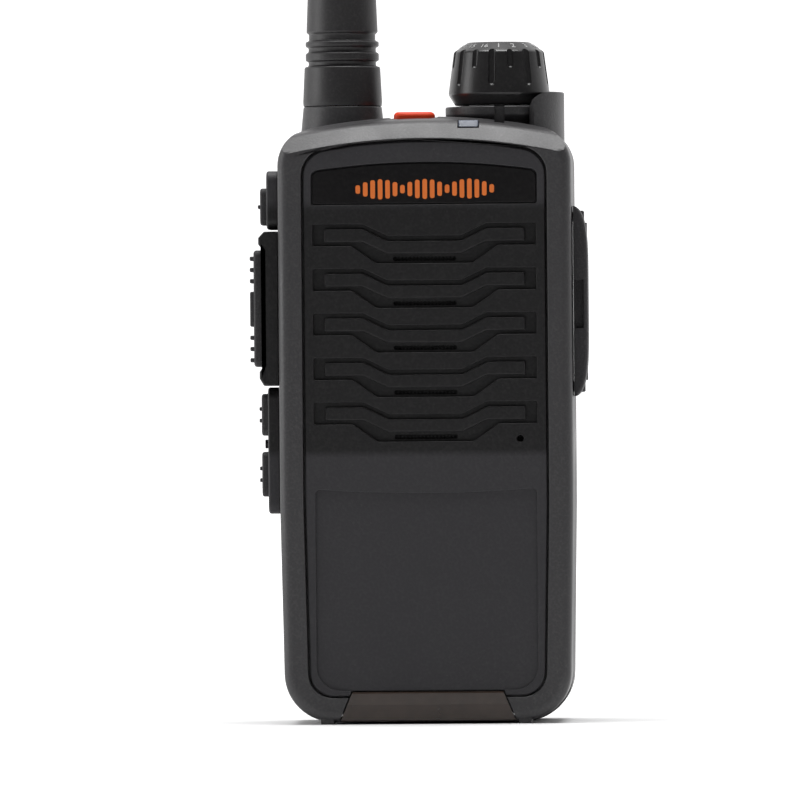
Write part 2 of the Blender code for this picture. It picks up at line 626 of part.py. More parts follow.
# ------------------------------------------------------------------ top parts
def antenna():
    x, y = ANTENNA
    tip = 4.3
    outer = [(0, ANTENNA_TIP), (1.9, ANTENNA_TIP - 0.3), (3.4, ANTENNA_TIP - 1.2),
             (tip, ANTENNA_TIP - 3.0), (7.35, 142.0), (6.84, 141.7), (6.84, 140.3)]
    for top, low in ((140.1, 139.1), (137.7, 136.2)):
        outer += [(7.55, top), (7.55, low), (6.94, low - 0.2), (6.94, low - 1.1)]
    outer += [(7.8, 134.9), (8.16, 127.5), (7.8, ANTENNA_LOW)]
    inner = [(4.7, ANTENNA_LOW), (4.7, 136.0), (3.4, 136.6), (3.4, 212.0), (0, 212.0)]
    part("antenna_sheath", turned(outer + inner, (x, y, 0)), RUBBER, (x, y, ANTENNA_LOW))
    stem = [(0, 135.6), (1.5, 135.6), (4.3, 134.9), (4.3, 127.2), (3.05, 126.9), (3.05, 119.5),
            (1.0, 119.2), (0, 119.2)]
    part("antenna_connector", turned(stem, (x, y, 0)), BRASS, (x, y, ANTENNA_LOW))
    part("antenna_seal", ring(7.0, 5.1, 126.0, 126.8, (x, y), steps=ROUND_STEPS), RUBBER, (x, y, 126.0))
    socket = [(4.6, 125.4), (4.6, 117.5), (3.35, 117.5), (3.35, 125.4)]
    part("antenna_socket", turned(socket, (x, y, 0)), BRASS)
    antenna_coil(x, y)


def antenna_coil(x, y):
    low, high, radius, wire, turns, per_turn = 136.9, 208.0, 2.6, 0.45, 11, 9
    count = turns * per_turn
    curve = bpy.data.curves.new("antenna_coil", "CURVE")
    curve.dimensions = "3D"
    curve.bevel_depth = wire * MM
    curve.bevel_resolution = 2
    curve.use_fill_caps = True
    spline = curve.splines.new("POLY")
    spline.points.add(count)
    for index, point in enumerate(spline.points):
        angle = 2 * math.pi * index / per_turn
        height = low + (high - low) * index / count
        place = Vector((radius * math.cos(angle), radius * math.sin(angle), height - ANTENNA_LOW))
        point.co = (*(place * MM), 1)
    coil = bpy.data.objects.new("antenna_coil", curve)
    coil.location = Vector((x, y, ANTENNA_LOW)) * MM
    curve.materials.append(material(BRASS))
    bpy.data.collections["two_way_radio"].objects.link(coil)


def flute(angle, low, radius):
    """A tapered groove down the knob's side, at one angle round it."""
    lean = math.atan2(KNOB_RADIUS - 9.3, KNOB_RIM - KNOB_WIDE)
    length = KNOB_RIM + 1.5 - low
    tip = [(radius, radius), (radius * 0.7, radius * 0.3), (0, 0)]
    bm = turned([(0, length), (radius, length)] + tip, steps=12)
    at_low = KNOB_RADIUS - (low - KNOB_WIDE) * math.tan(lean) + radius * 0.25
    place = Matrix.Translation((*KNOB, 0)) @ Matrix.Rotation(angle, 4, "Z")
    place = place @ Matrix.Translation((at_low, 0, low)) @ Matrix.Rotation(-lean, 4, "Y")
    bmesh.ops.transform(bm, matrix=place, verts=bm.verts)
    return bm


def channel_knob():
    profile = [(0, KNOB_TOP), (6.35, KNOB_TOP), (9.0, KNOB_RIM + 0.3), (9.3, KNOB_RIM),
               (KNOB_RADIUS, KNOB_WIDE), (KNOB_RADIUS - 0.2, KNOB_WIDE - 0.5), (9.06, KNOB_LOW),
               (7.6, KNOB_LOW), (7.6, 135.3), (0, 135.3)]
    knob = part("channel_knob", turned(profile, (*KNOB, 0), steps=48), GLOSS_BLACK, (*KNOB, KNOB_LOW))
    front = -math.pi / 2 - math.radians(6.7)
    step = 2 * math.pi / DETENTS
    flutes = [flute(front + step * index, *LONG_FLUTE) for index in range(0, DETENTS, 2)]
    flutes += [flute(front + step * index, *SHORT_FLUTE) for index in range(1, DETENTS, 2)]
    cut(knob, merged(*flutes))
    part("channel_shaft", rod(3.0, 113.5, 135.0, KNOB, steps=24), STEEL, (*KNOB, KNOB_LOW))
    x, y = KNOB
    switch = part("channel_switch", block((x - 5.5, y - 5.5, 112), (x + 5.5, y + 5.5, 118.6)), DARK_PLASTIC)
    add(switch, rod(4.45, 118, 128.6, KNOB))
    cut(switch, rod(3.3, 113.2, 130, KNOB, steps=24))
    sixths = [math.pi / 3 * corner for corner in range(6)]
    hexagon = [(6.2 * math.cos(turn) + x, 6.2 * math.sin(turn) + y) for turn in sixths]
    nut = part("channel_nut", prism(hexagon, 126.7, 128.4, "Z"), STEEL)
    cut(nut, rod(4.75, 120, 130, KNOB))


def top_button():
    x, y = TOP_BUTTON
    outline = box_outline(x - 4.2, x + 4.2, y - 2.9, y + 2.9, 1.6)
    bm = soften(prism(outline, 120.9, 125.3, "Z"), lambda co: co.z > 125.29, 0.7, 3)
    button = part("top_button", bm, ORANGE, (x, y, 125.3))
    add(button, rod(1.0, 118.8, 121.3, TOP_BUTTON))


# ---------------------------------------------------------------- right side
def cover_outline(steps=18):
    """Seen from the front: flat against the wall and bowed outwards."""
    low, high = COVER
    middle, half = (low + high) / 2, (high - low) / 2
    spread = [math.cos(math.pi * step / steps) for step in range(steps + 1)]
    bow = [(-SIDE_FACE + 2.9 * math.sqrt(1 - abs(t) ** 5), middle + half * t) for t in spread]
    return bow


def accessory_side():
    x, y = COVER_HINGE
    bm = prism(cover_outline(), SIDE_Y - 5.8, y - 1.4)
    cover = part("accessory_cover", bm, RUBBER, (x, y, COVER[0]))
    add(cover, block((30.6, y - 2.0, COVER[0] + 3.3), (x + 0.9, y, COVER[1] - 3.3)))
    add(cover, rod(1.15, COVER[0] + 3.3, COVER[1] - 3.3, COVER_HINGE))
    cut(cover, rod(0.58, COVER[0], COVER[1], COVER_HINGE))
    cut(cover, block((30.0, SIDE_Y - 7, 80.6), (32.4, SIDE_Y - 4.4, 90.5)))
    part("cover_hinge_pin", rod(0.5, COVER[0] + 0.8, COVER[1] - 0.8, COVER_HINGE), STEEL)
    socket = block((22.0, SIDE_Y - 3.2, 73.2), (27.4, SIDE_Y + 3.2, 92.8))
    socket = part("accessory_socket", socket, DARK_PLASTIC)
    for height, bore in JACKS:
        add(socket, rod(2.6, 26.5, 29.4, (SIDE_Y, height), "X"))
        cut(socket, rod(bore, 23.0, 30.0, (SIDE_Y, height), "X"))


# -------------------------------------------------------------------- latch
def base_latch():
    y, z = LATCH_PIN
    back = -15.3
    turns = [-math.pi / 6 * step for step in range(4)]
    low = [(y + 1.15 * math.cos(turn), z + 1.15 * math.sin(turn)) for turn in turns]
    side = [(back, LATCH_TOP), (-17.6, LATCH_TOP), (-17.9, LATCH_TOP - 0.3), (-17.9, 4.0),
            (-17.1, LATCH_LOW + 0.1), (-16.9, LATCH_LOW)] + low[::-1]
    latch = part("base_latch", prism(side, -18.5, 18.5, "X"), SMOKED, (0, y, z))
    for sign in (-1, 1):
        outside = [(30, -5), (30, 12), (latch_half(12), 12), (latch_half(-5), -5)]
        cut(latch, prism([(sign * u, v) for u, v in outside], -20, -10))
    cut(latch, rod(0.56, -20, 20, LATCH_PIN, "X"))
    part("latch_pin", rod(0.5, -19.1, 19.1, LATCH_PIN, "X"), STEEL)


# ------------------------------------------------------------------ battery
def battery():
    bm = prism(body_outline(0.0, floor=0.0, ceiling=BATTERY_TOP), BATTERY_FRONT, BACK)
    soften(bm, lambda co: abs(co.y - BACK) < 0.01 and co.z < BATTERY_TOP + 1, BACK_ROUND)
    case = part("battery_case", bm, PLASTIC, (0, BACK, BATTERY_TOP))
    hollow = body_outline(BATTERY_WALL, floor=0.0, ceiling=BATTERY_TOP - BATTERY_WALL)
    cut(case, prism(hollow, -1, BACK - BATTERY_WALL))
    cut(case, merged(*[rod(1.55, 14, 20, place, "Y") for place in CLIP_SCREWS]))
    cut(case, merged(*[rod(2.9, BACK - 1.2, 20, place, "Y") for place in CLIP_SCREWS]))
    cut(case, merged(*[rod(2.3, 14, 20, (x, CHARGE_Z), "Y") for x in CHARGE_X]))
    lid = body_outline(BATTERY_WALL + GAP, floor=0.0, ceiling=BATTERY_TOP - BATTERY_WALL - GAP)
    lid = part("battery_lid", prism(lid, BATTERY_FRONT + GAP, 2.3), DARK_PLASTIC, (0, BACK, BATTERY_TOP))
    windows = [block((x - 2.3, 0, CONTACT_Z - 2.8), (x + 2.3, 3, CONTACT_Z + 2.8)) for x in CONTACT_X]
    cut(lid, merged(*windows))
    for number, x in enumerate(CONTACT_X, 1):
        pad = block((x - 2, 1.1, CONTACT_Z - 2.5), (x + 2, 2.3, CONTACT_Z + 2.5))
        part(f"battery_contact_{number}", pad, BRASS, (0, BACK, BATTERY_TOP))
    board = prism(box_outline(-25, 25, 86.5, 96.5, 1.0), 2.6, 3.6)
    part("battery_board", board, BOARD, (0, BACK, BATTERY_TOP))
    cells = prism(box_outline(-26.4, 26.4, 4.5, 84.0, 4.0, 5), 2.9, 14.9)
    cells = soften(cells, lambda co: abs(co.y - 14.9) < 0.01, 1.2, 2)
    part("battery_cells", cells, CELL, (0, BACK, BATTERY_TOP))
    for number, (x, z) in enumerate(CLIP_SCREWS, 1):
        head = screw((x, 0, z), head=2.6, top=BACK - 0.1, under=BACK - 0.9, shank=1.25, tip=BACK - 2.7)
        part(f"clip_screw_{number}", head, STEEL, (0, BACK, BATTERY_TOP))
    for number, x in enumerate(CHARGE_X, 1):
        stud = [(0, BACK - 0.5), (1.7, BACK - 0.5), (2.0, BACK - 0.8), (2.0, BACK - 2.6), (0, BACK - 2.6)]
        stud = turned(stud, (x, 0, CHARGE_Z), "Y", SMALL_STEPS)
        part(f"charge_contact_{number}", stud, BRASS, (0, BACK, BATTERY_TOP))


def main():
    clear_scene()
    collection("two_way_radio")
    collection("cutters")
    front_housing()
    front_panel()
    speaker()
    boards()
    chassis()
    side_frames()
    ptt_button()
    side_keys()
    antenna()
    channel_knob()
    top_button()
    accessory_side()
    base_latch()
    battery()


main()
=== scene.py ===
"""Hand-held two way radio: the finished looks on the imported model.

Lengths are written in millimetres and scaled to metres when a piece is made.
The radio stands on its base with the speaker at -Y and the side keys at -X.
"""
import json
import math

import bmesh
import bpy
from mathutils import Matrix, Vector


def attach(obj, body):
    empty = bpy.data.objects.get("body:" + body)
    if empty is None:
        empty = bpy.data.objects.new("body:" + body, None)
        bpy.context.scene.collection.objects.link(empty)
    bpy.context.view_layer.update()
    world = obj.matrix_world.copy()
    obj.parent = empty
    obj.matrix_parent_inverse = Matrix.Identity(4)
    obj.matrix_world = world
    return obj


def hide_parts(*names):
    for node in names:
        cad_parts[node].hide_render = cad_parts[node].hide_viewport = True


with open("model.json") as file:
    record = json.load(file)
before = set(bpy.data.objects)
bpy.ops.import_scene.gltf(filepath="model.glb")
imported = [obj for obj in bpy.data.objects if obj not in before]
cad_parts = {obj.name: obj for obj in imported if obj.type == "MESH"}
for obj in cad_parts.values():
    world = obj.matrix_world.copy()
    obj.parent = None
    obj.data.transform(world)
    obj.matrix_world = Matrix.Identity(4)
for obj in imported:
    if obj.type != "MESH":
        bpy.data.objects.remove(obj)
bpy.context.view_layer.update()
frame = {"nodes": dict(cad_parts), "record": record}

MM = 0.001
GAP = 0.3                       # between pieces that rest on each other
SHARP = math.radians(34)
CORNER_STEPS = 14
ROUND_STEPS = 96

# Body envelope
BODY_HALF = 30.0
FOOT_TAPER = 0.8                # how much each side pulls in at the base
TAPER_TOP = 45.0
SHELL_FLOOR = 0.5
TOP_MIDDLE = 124.3
TOP_SAG = 1.9                   # drop of the arched top at ARCH_HALF
ARCH_HALF = 22.0
LOWER_CORNER = 10.0
UPPER_CORNER = 8.0
FRONT = -18.0
BACK = 18.0
FRONT_ROUND = 2.2
BACK_ROUND = 3.0
WALL = 2.2
CAVITY_FRONT = -13.8
CEILING = 119.9
SPLIT = 0.0                     # back plane of the shell below the shelf
SHELF = (101.0, 103.0)

# Front panel
APERTURE_INSET = 4.9
PANEL_INSET = 5.3
LEDGE_INSET = 6.9
LEDGE_FRONT = -15.3
PANEL_FRONT = -17.7
PANEL_BACK = LEDGE_FRONT - GAP
WINDOW_HALF = 23.1
WINDOW_LOW = 106.1
WINDOW_SIDE = 113.1
WINDOW_TOP = 114.8
WINDOW_DEPTH = 0.9
SLOT_COUNT = 5
SLOT_PITCH = 9.1
SLOT_TOP = 102.2
SLOT_HALF = 22.8
SLOT_DEPTH = 1.3
LOWER_RECESS_HALF = 22.6
LOWER_RECESS = (6.9, 48.1)
LOWER_RECESS_DEPTH = 0.5
MIC = (19.3, 58.15)

# Top
ANTENNA = (-17.4, 4.0)
ANTENNA_LOW = 127.1
SKIRT_LOW = 126.86              # the sleeve's thin skirt hides its seal
ANTENNA_TIP = 222.0
COLLAR_TOP = 126.8
BROW = [(-19.0, -5.9), (-18.0, -4.6), (-14.8, -1.15), (-12.6, -0.65), (-8.6, -0.5), (-6.5, 0.4)]
BROW_REACH = 31.0               # half length of the brow, past both corners
KNOB = (14.9, 4.0)
PEDESTAL_RADIUS = 11.1
PEDESTAL_TOP = 126.4
GUARD_TOP = 129.3
KNOB_RADIUS = 10.44
KNOB_LOW = 126.7
KNOB_WIDE = 129.1
KNOB_RIM = 137.6
KNOB_TOP = 139.7
DETENTS = 16
INDEX_X = (14.2, 16.3)
TOP_BUTTON = (-2.3, -4.0)
LENS = (7.2, 11.0)

# Sides
SIDE_Y = -7.5
SIDE_FACE = -30.3
PTT_Z = 85.15
PTT_HALF = 11.95
KEYS = {"side_key": (106.0, 3.8), "volume_up_key": (63.4, 4.3), "volume_down_key": (51.2, 4.6)}
COVER = (66.7, 105.6)
COVER_HINGE = (31.75, -1.9)
JACKS = [(89.5, 1.75), (78.0, 1.25)]

# Base latch and battery
LATCH_PIN = (-16.5, 2.0)
LATCH_TOP = 6.6
LATCH_HALF = 15.4
LATCH_LOW = 0.7
LATCH_SLOPE = 0.42              # how much each side spreads per millimetre down
BATTERY_FRONT = 0.6
BATTERY_TOP = 100.4
BATTERY_WALL = 2.0
SCREW_PLACES = [(side * 23.2, height) for side in (-1, 1) for height in (14.0, 96.5)]
CLIP_SCREWS = [(-9.0, 82.0), (9.0, 82.0)]
CHARGE_STUDS = [(-7.0, 14.0), (7.0, 14.0)]


# ------------------------------------------------------------------- outlines
def rounded(corners, steps=CORNER_STEPS):
    """A closed outline; each corner is (u, v, radius)."""
    points = []
    for index, (u, v, radius) in enumerate(corners):
        here = Vector((u, v))
        if radius <= 0:
            points.append((u, v))
            continue
        before = Vector(corners[index - 1][:2]) - here
        after = Vector(corners[(index + 1) % len(corners)][:2]) - here
        half_angle = before.angle(after) / 2
        reach = radius / math.tan(half_angle)
        bisector = (before.normalized() + after.normalized()).normalized()
        centre = here + bisector * (radius / math.sin(half_angle))
        start = here + before.normalized() * reach - centre
        sweep = start.angle_signed(here + after.normalized() * reach - centre)
        for step in range(steps + 1):
            turn = Matrix.Rotation(-sweep * step / steps, 2)
            points.append(tuple(centre + turn @ start))
    return points


def box_outline(low_u, high_u, low_v, high_v, radius=0.0, steps=8):
    corners = [(low_u, low_v), (high_u, low_v), (high_u, high_v), (low_u, high_v)]
    return rounded([(u, v, radius) for u, v in corners], steps)


def arch_height(x, inset=0.0):
    return TOP_MIDDLE - inset - TOP_SAG * (x / ARCH_HALF) ** 2


def mirrored(right):
    return right + [(-x, z, r) for x, z, r in reversed(right)]


def body_outline(inset=0.0, floor=SHELL_FLOOR, ceiling=None):
    """The radio's front outline, pulled in by inset, cut level at ceiling."""
    half = BODY_HALF - inset
    foot = half - FOOT_TAPER
    low = floor + inset
    right = [(foot, low, max(LOWER_CORNER - inset, 1.0)), (half, TAPER_TOP, 0.0)]
    if ceiling is not None:
        return rounded(mirrored(right + [(half, ceiling, 0.0)]))
    right.append((half, arch_height(half, inset), UPPER_CORNER - inset * 0.5))
    steps = 24
    reach = 20.0 - inset
    spread = [reach * (1 - 2 * step / steps) for step in range(steps + 1)]
    arch = [(x, arch_height(x, inset), 0.0) for x in spread]
    return rounded(right + arch + [(-x, z, r) for x, z, r in reversed(right)])


def cavity_outline():
    """The hollow behind the front wall, with a level ceiling."""
    half = BODY_HALF - WALL
    return rounded(mirrored([(half - FOOT_TAPER, SHELL_FLOOR + WALL, LOWER_CORNER - WALL),
                             (half, TAPER_TOP, 0.0), (half, CEILING, 6.5)]))


def upper_cavity_outline():
    half, top = BODY_HALF - WALL - 0.2, CEILING - 0.2
    return rounded(mirrored([(half, SHELF[1], 0.0), (half, top, 6.5)]))


def wave(half, outer, inner, end_top, mid_top, end_low, mid_low, spread=0.0, bend=1.6):
    """A bar that dips in its middle with soft bends; spread widens its lower edge."""
    top = [(-half, end_top, 0.35), (-outer, end_top, bend), (-inner, mid_top, bend),
           (inner, mid_top, bend), (outer, end_top, bend), (half, end_top, 0.35)]
    low = [(half, end_low, 0.35), (outer + spread, end_low, bend), (inner + spread, mid_low, bend),
           (-inner - spread, mid_low, bend), (-outer - spread, end_low, bend), (-half, end_low, 0.35)]
    return rounded(top + low, 4)


def lifted(outline, height):
    return [(u, v + height) for u, v in outline]


# ------------------------------------------------------------- solid building
def spot(u, v, along, axis):
    return {"X": (along, u, v), "Y": (u, along, v), "Z": (u, v, along)}[axis]


def prism(outline, start, end, axis="Y"):
    """An outline pushed along an axis, from start to end."""
    bm = bmesh.new()
    face = bm.faces.new([bm.verts.new(spot(u, v, start, axis)) for u, v in outline])
    grown = bmesh.ops.extrude_face_region(bm, geom=[face])["geom"]
    moved = [item for item in grown if isinstance(item, bmesh.types.BMVert)]
    bmesh.ops.translate(bm, verts=moved, vec=spot(0, 0, end - start, axis))
    bmesh.ops.recalc_face_normals(bm, faces=bm.faces)
    return bm


def block(low, high):
    return prism([(low[0], low[2]), (high[0], low[2]), (high[0], high[2]), (low[0], high[2])],
                 low[1], high[1])


def soften(bm, chosen, width, segments=5):
    """Round the sharp edges whose two ends pass the test."""
    edges = [e for e in bm.edges if len(e.link_faces) == 2 and all(chosen(v.co) for v in e.verts)
             and e.calc_face_angle(0) > SHARP]
    bmesh.ops.bevel(bm, geom=edges, offset=width, segments=segments, profile=0.5,
                    affect="EDGES", clamp_overlap=False)
    return bm


def turned(profile, centre=(0, 0, 0), axis="Z", steps=ROUND_STEPS):
    """A profile of (radius, height) spun round an axis through centre."""
    bm = bmesh.new()
    verts = [bm.verts.new((radius, 0, height)) for radius, height in profile]
    edges = [bm.edges.new(pair) for pair in zip(verts, verts[1:])]
    if profile[0][0] > 0 or profile[-1][0] > 0:
        edges.append(bm.edges.new((verts[-1], verts[0])))
    bmesh.ops.spin(bm, geom=verts + edges, cent=(0, 0, 0), axis=(0, 0, 1),
                   angle=2 * math.pi, steps=steps, use_merge=True)
    bmesh.ops.remove_doubles(bm, verts=bm.verts, dist=0.0001)
    loose = [v for v in bm.verts if not v.link_faces]
    bmesh.ops.delete(bm, geom=loose, context="VERTS")
    tilt = {"X": Matrix.Rotation(math.pi / 2, 4, "Y"), "Y": Matrix.Rotation(-math.pi / 2, 4, "X"),
            "Z": Matrix.Identity(4)}[axis]
    bmesh.ops.transform(bm, matrix=Matrix.Translation(centre) @ tilt, verts=bm.verts)
    bmesh.ops.recalc_face_normals(bm, faces=bm.faces)
    return bm


def rod(radius, start, end, centre, axis="Z", steps=48):
    middle = spot(*centre, 0, axis)
    return turned([(0, end), (radius, end), (radius, start), (0, start)], middle, axis, steps)


def eased(profile, width, steps=4):
    """A turned profile with its inner corners rounded off."""
    points = [profile[0]]
    for before, here, after in zip(profile, profile[1:], profile[2:]):
        a, b, c = Vector(before), Vector(here), Vector(after)
        reach = min(width, (a - b).length * 0.45, (c - b).length * 0.45)
        start, end = b + (a - b).normalized() * reach, b + (c - b).normalized() * reach
        for step in range(steps + 1):
            t = step / steps
            points.append(tuple(start * (1 - t) ** 2 + b * 2 * t * (1 - t) + end * t ** 2))
    return points + [profile[-1]]


def merged(*shapes):
    """Several separate closed shapes in one mesh."""
    bm = bmesh.new()
    for shape in shapes:
        holder = bpy.data.meshes.new("holder")
        shape.to_mesh(holder)
        shape.free()
        bm.from_mesh(holder)
        bpy.data.meshes.remove(holder)
    return bm


def held(bm):
    """A working object for a shape, linked so that modifiers can run on it."""
    mesh = bpy.data.meshes.new("working")
    bm.to_mesh(mesh)
    bm.free()
    obj = bpy.data.objects.new("working", mesh)
    bpy.context.scene.collection.objects.link(obj)
    return obj


def released(*objects):
    for obj in objects:
        mesh = obj.data
        bpy.data.objects.remove(obj, do_unlink=True)
        bpy.data.meshes.remove(mesh)


def as_shaped(obj):
    """The object's mesh after its modifiers, as a fresh bmesh."""
    graph = bpy.context.evaluated_depsgraph_get()
    mesh = bpy.data.meshes.new_from_object(obj.evaluated_get(graph))
    bm = bmesh.new()
    bm.from_mesh(mesh)
    bpy.data.meshes.remove(mesh)
    return bm


def combined(bm, tool, operation):
    blank, other = held(bm), held(tool)
    modifier = blank.modifiers.new("shape", "BOOLEAN")
    modifier.operation = operation
    modifier.object = other
    result = as_shaped(blank)
    released(blank, other)
    return result


def without(bm, tool):
    return combined(bm, tool, "DIFFERENCE")


def joined(bm, tool):
    return combined(bm, tool, "UNION")


# ------------------------------------------------------------ repeated shapes
def repeat_tree(name, turning):
    """Copies of the input mesh, either in a row or turned round the Z axis."""
    tree = bpy.data.node_groups.new(name, "GeometryNodeTree")
    face = tree.interface
    face.new_socket("Geometry", in_out="INPUT", socket_type="NodeSocketGeometry")
    face.new_socket("Count", in_out="INPUT", socket_type="NodeSocketInt")
    face.new_socket("Step", in_out="INPUT", socket_type="NodeSocketVector")
    face.new_socket("Material", in_out="INPUT", socket_type="NodeSocketMaterial")
    face.new_socket("Geometry", in_out="OUTPUT", socket_type="NodeSocketGeometry")
    given = tree.nodes.new("NodeGroupInput")
    line = tree.nodes.new("GeometryNodeMeshLine")
    copies = tree.nodes.new("GeometryNodeInstanceOnPoints")
    real = tree.nodes.new("GeometryNodeRealizeInstances")
    coat = tree.nodes.new("GeometryNodeSetMaterial")
    made = tree.nodes.new("NodeGroupOutput")
    tree.links.new(given.outputs["Count"], line.inputs["Count"])
    tree.links.new(line.outputs["Mesh"], copies.inputs["Points"])
    tree.links.new(given.outputs["Geometry"], copies.inputs["Instance"])
    if turning:
        line.inputs["Offset"].default_value = (0, 0, 0)
        index = tree.nodes.new("GeometryNodeInputIndex")
        turn = tree.nodes.new("ShaderNodeVectorMath")
        turn.operation = "SCALE"
        tree.links.new(given.outputs["Step"], turn.inputs[0])
        tree.links.new(index.outputs[0], turn.inputs["Scale"])
        tree.links.new(turn.outputs[0], copies.inputs["Rotation"])
    else:
        tree.links.new(given.outputs["Step"], line.inputs["Offset"])
    tree.links.new(copies.outputs["Instances"], real.inputs["Geometry"])
    tree.links.new(real.outputs["Geometry"], coat.inputs["Geometry"])
    tree.links.new(given.outputs["Material"], coat.inputs["Material"])
    tree.links.new(coat.outputs["Geometry"], made.inputs["Geometry"])
    return tree


def repeated(bm, tree, count, step, look):
    """The shape copied by a tree, as one plain mesh."""
    obj = held(bm)
    modifier = obj.modifiers.new("copies", "NODES")
    modifier.node_group = tree
    values = {"Count": count, "Step": step, "Material": look}
    for item in tree.interface.items_tree:
        if item.in_out == "INPUT" and item.name in values:
            modifier[item.identifier] = values[item.name]
    result = as_shaped(obj)
    released(obj)
    return result


# ------------------------------------------------------------------ materials
def socketed(name, inputs, outputs):
    """An empty shader group with its named sockets."""
    tree = bpy.data.node_groups.new(name, "ShaderNodeTree")
    for title, kind, value in inputs:
        made = tree.interface.new_socket(title, in_out="INPUT", socket_type=kind)
        if value is not None:
            made.default_value = value
    for title, kind in outputs:
        tree.interface.new_socket(title, in_out="OUTPUT", socket_type=kind)
    return tree, tree.nodes.new("NodeGroupInput"), tree.nodes.new("NodeGroupOutput")


def step_of(tree, kind, links=(), **settings):
    """One node with its settings and what is linked or set on its inputs."""
    made = tree.nodes.new(kind)
    for title, value in settings.items():
        setattr(made, title, value)
    for socket, value in links:
        if isinstance(value, bpy.types.NodeSocket):
            tree.links.new(value, made.inputs[socket])
        else:
            made.inputs[socket].default_value = value
    return made


def math_of(tree, operation, first, second=0.0, clamp=False):
    made = step_of(tree, "ShaderNodeMath", [(0, first), (1, second)], operation=operation)
    made.use_clamp = clamp
    return made.outputs[0]


def noise_of(tree, vector, scale, detail=2.0, roughness=0.5):
    made = step_of(tree, "ShaderNodeTexNoise", [("Vector", vector), ("Scale", scale),
                                                ("Detail", detail), ("Roughness", roughness)])
    return made.outputs["Fac"]


def range_of(tree, value, low, high, to_low=0.0, to_high=1.0):
    links = [("Value", value), ("From Min", low), ("From Max", high), ("To Min", to_low), ("To Max", to_high)]
    return step_of(tree, "ShaderNodeMapRange", links).outputs["Result"]


def spark_grain():
    """The pebbled skin a moulded part takes from a spark-eroded tool."""
    tree, given, made = socketed(
        "spark_grain",
        [("Vector", "NodeSocketVector", None), ("Grain Size", "NodeSocketFloat", 0.3),
         ("Coarseness", "NodeSocketFloat", 0.5)],
        [("Height", "NodeSocketFloat"), ("Pits", "NodeSocketFloat")])
    per_metre = math_of(tree, "DIVIDE", 1000.0, given.outputs["Grain Size"])
    cells = step_of(tree, "ShaderNodeTexVoronoi", [("Vector", given.outputs["Vector"]), ("Scale", per_metre),
                                                   ("Randomness", 1.0)], feature="SMOOTH_F1")
    broad = noise_of(tree, given.outputs["Vector"], math_of(tree, "MULTIPLY", per_metre, 0.45), 3.0, 0.6)
    pebble = range_of(tree, cells.outputs["Distance"], 0.1, 0.7, 1.0, 0.0)
    share = step_of(tree, "ShaderNodeMix", [("Factor", given.outputs["Coarseness"]), ("A", pebble), ("B", broad)],
                    data_type="FLOAT")
    tree.links.new(share.outputs[0], made.inputs["Height"])
    tree.links.new(range_of(tree, pebble, 0.55, 0.0), made.inputs["Pits"])
    return tree


def handling_marks():
    """Soft shine where hands rub, with dust settled in the grain."""
    tree, given, made = socketed(
        "handling_marks",
        [("Vector", "NodeSocketVector", None), ("Colour", "NodeSocketColor", (0.05, 0.05, 0.05, 1)),
         ("Dust Colour", "NodeSocketColor", (0.3, 0.29, 0.28, 1)), ("Dust", "NodeSocketFloat", 0.1),
         ("Pits", "NodeSocketFloat", 0.0), ("Roughness", "NodeSocketFloat", 0.5),
         ("Rub", "NodeSocketFloat", 0.1)],
        [("Colour", "NodeSocketColor"), ("Roughness", "NodeSocketFloat")])
    patches = range_of(tree, noise_of(tree, given.outputs["Vector"], 45.0, 4.0, 0.6), 0.42, 0.68)
    specks = range_of(tree, noise_of(tree, given.outputs["Vector"], 1600.0, 2.0, 0.7), 0.60, 0.72)
    settled = math_of(tree, "MULTIPLY", specks, patches)
    settled = math_of(tree, "ADD", settled, math_of(tree, "MULTIPLY", given.outputs["Pits"], 0.4), True)
    amount = math_of(tree, "MULTIPLY", settled, given.outputs["Dust"], True)
    colour = step_of(tree, "ShaderNodeMix", [("Factor", amount), (6, given.outputs["Colour"]),
                                             (7, given.outputs["Dust Colour"])], data_type="RGBA")
    rubbed = math_of(tree, "MULTIPLY", math_of(tree, "SUBTRACT", patches, 0.5), given.outputs["Rub"])
    rough = math_of(tree, "SUBTRACT", given.outputs["Roughness"], rubbed, True)
    tree.links.new(colour.outputs[2], made.inputs["Colour"])
    tree.links.new(rough, made.inputs["Roughness"])
    return tree


def brushed_lines():
    """Fine lines left by machining, running along one axis."""
    tree, given, made = socketed(
        "brushed_lines",
        [("Vector", "NodeSocketVector", None), ("Stretch", "NodeSocketVector", (1, 1, 0.05)),
         ("Roughness", "NodeSocketFloat", 0.3)],
        [("Height", "NodeSocketFloat"), ("Roughness", "NodeSocketFloat")])
    along = step_of(tree, "ShaderNodeVectorMath", [(0, given.outputs["Vector"]), (1, given.outputs["Stretch"])],
                    operation="MULTIPLY").outputs[0]
    lines = noise_of(tree, along, 4000.0, 3.0, 0.7)
    rough = math_of(tree, "ADD", given.outputs["Roughness"], range_of(tree, lines, 0.3, 0.7, -0.08, 0.1), True)
    tree.links.new(lines, made.inputs["Height"])
    tree.links.new(rough, made.inputs["Roughness"])
    return tree


def group_of(tree, shared, links):
    made = tree.nodes.new("ShaderNodeGroup")
    made.node_tree = shared
    for socket, value in links:
        if isinstance(value, bpy.types.NodeSocket):
            tree.links.new(value, made.inputs[socket])
        else:
            made.inputs[socket].default_value = value
    return made


def new_material(name):
    """A material with its shader and the piece's own coordinates."""
    made = bpy.data.materials.new(name)
    made.use_nodes = True
    tree = made.node_tree
    place = tree.nodes.new("ShaderNodeTexCoord").outputs["Object"]
    return made, tree, tree.nodes["Principled BSDF"], place


def bump_of(tree, shader, height, depth, strength=1.0):
    """Bump whose depth is in millimetres."""
    bump = step_of(tree, "ShaderNodeBump", [("Strength", strength), ("Distance", depth * MM), ("Height", height)])
    tree.links.new(bump.outputs["Normal"], shader.inputs["Normal"])


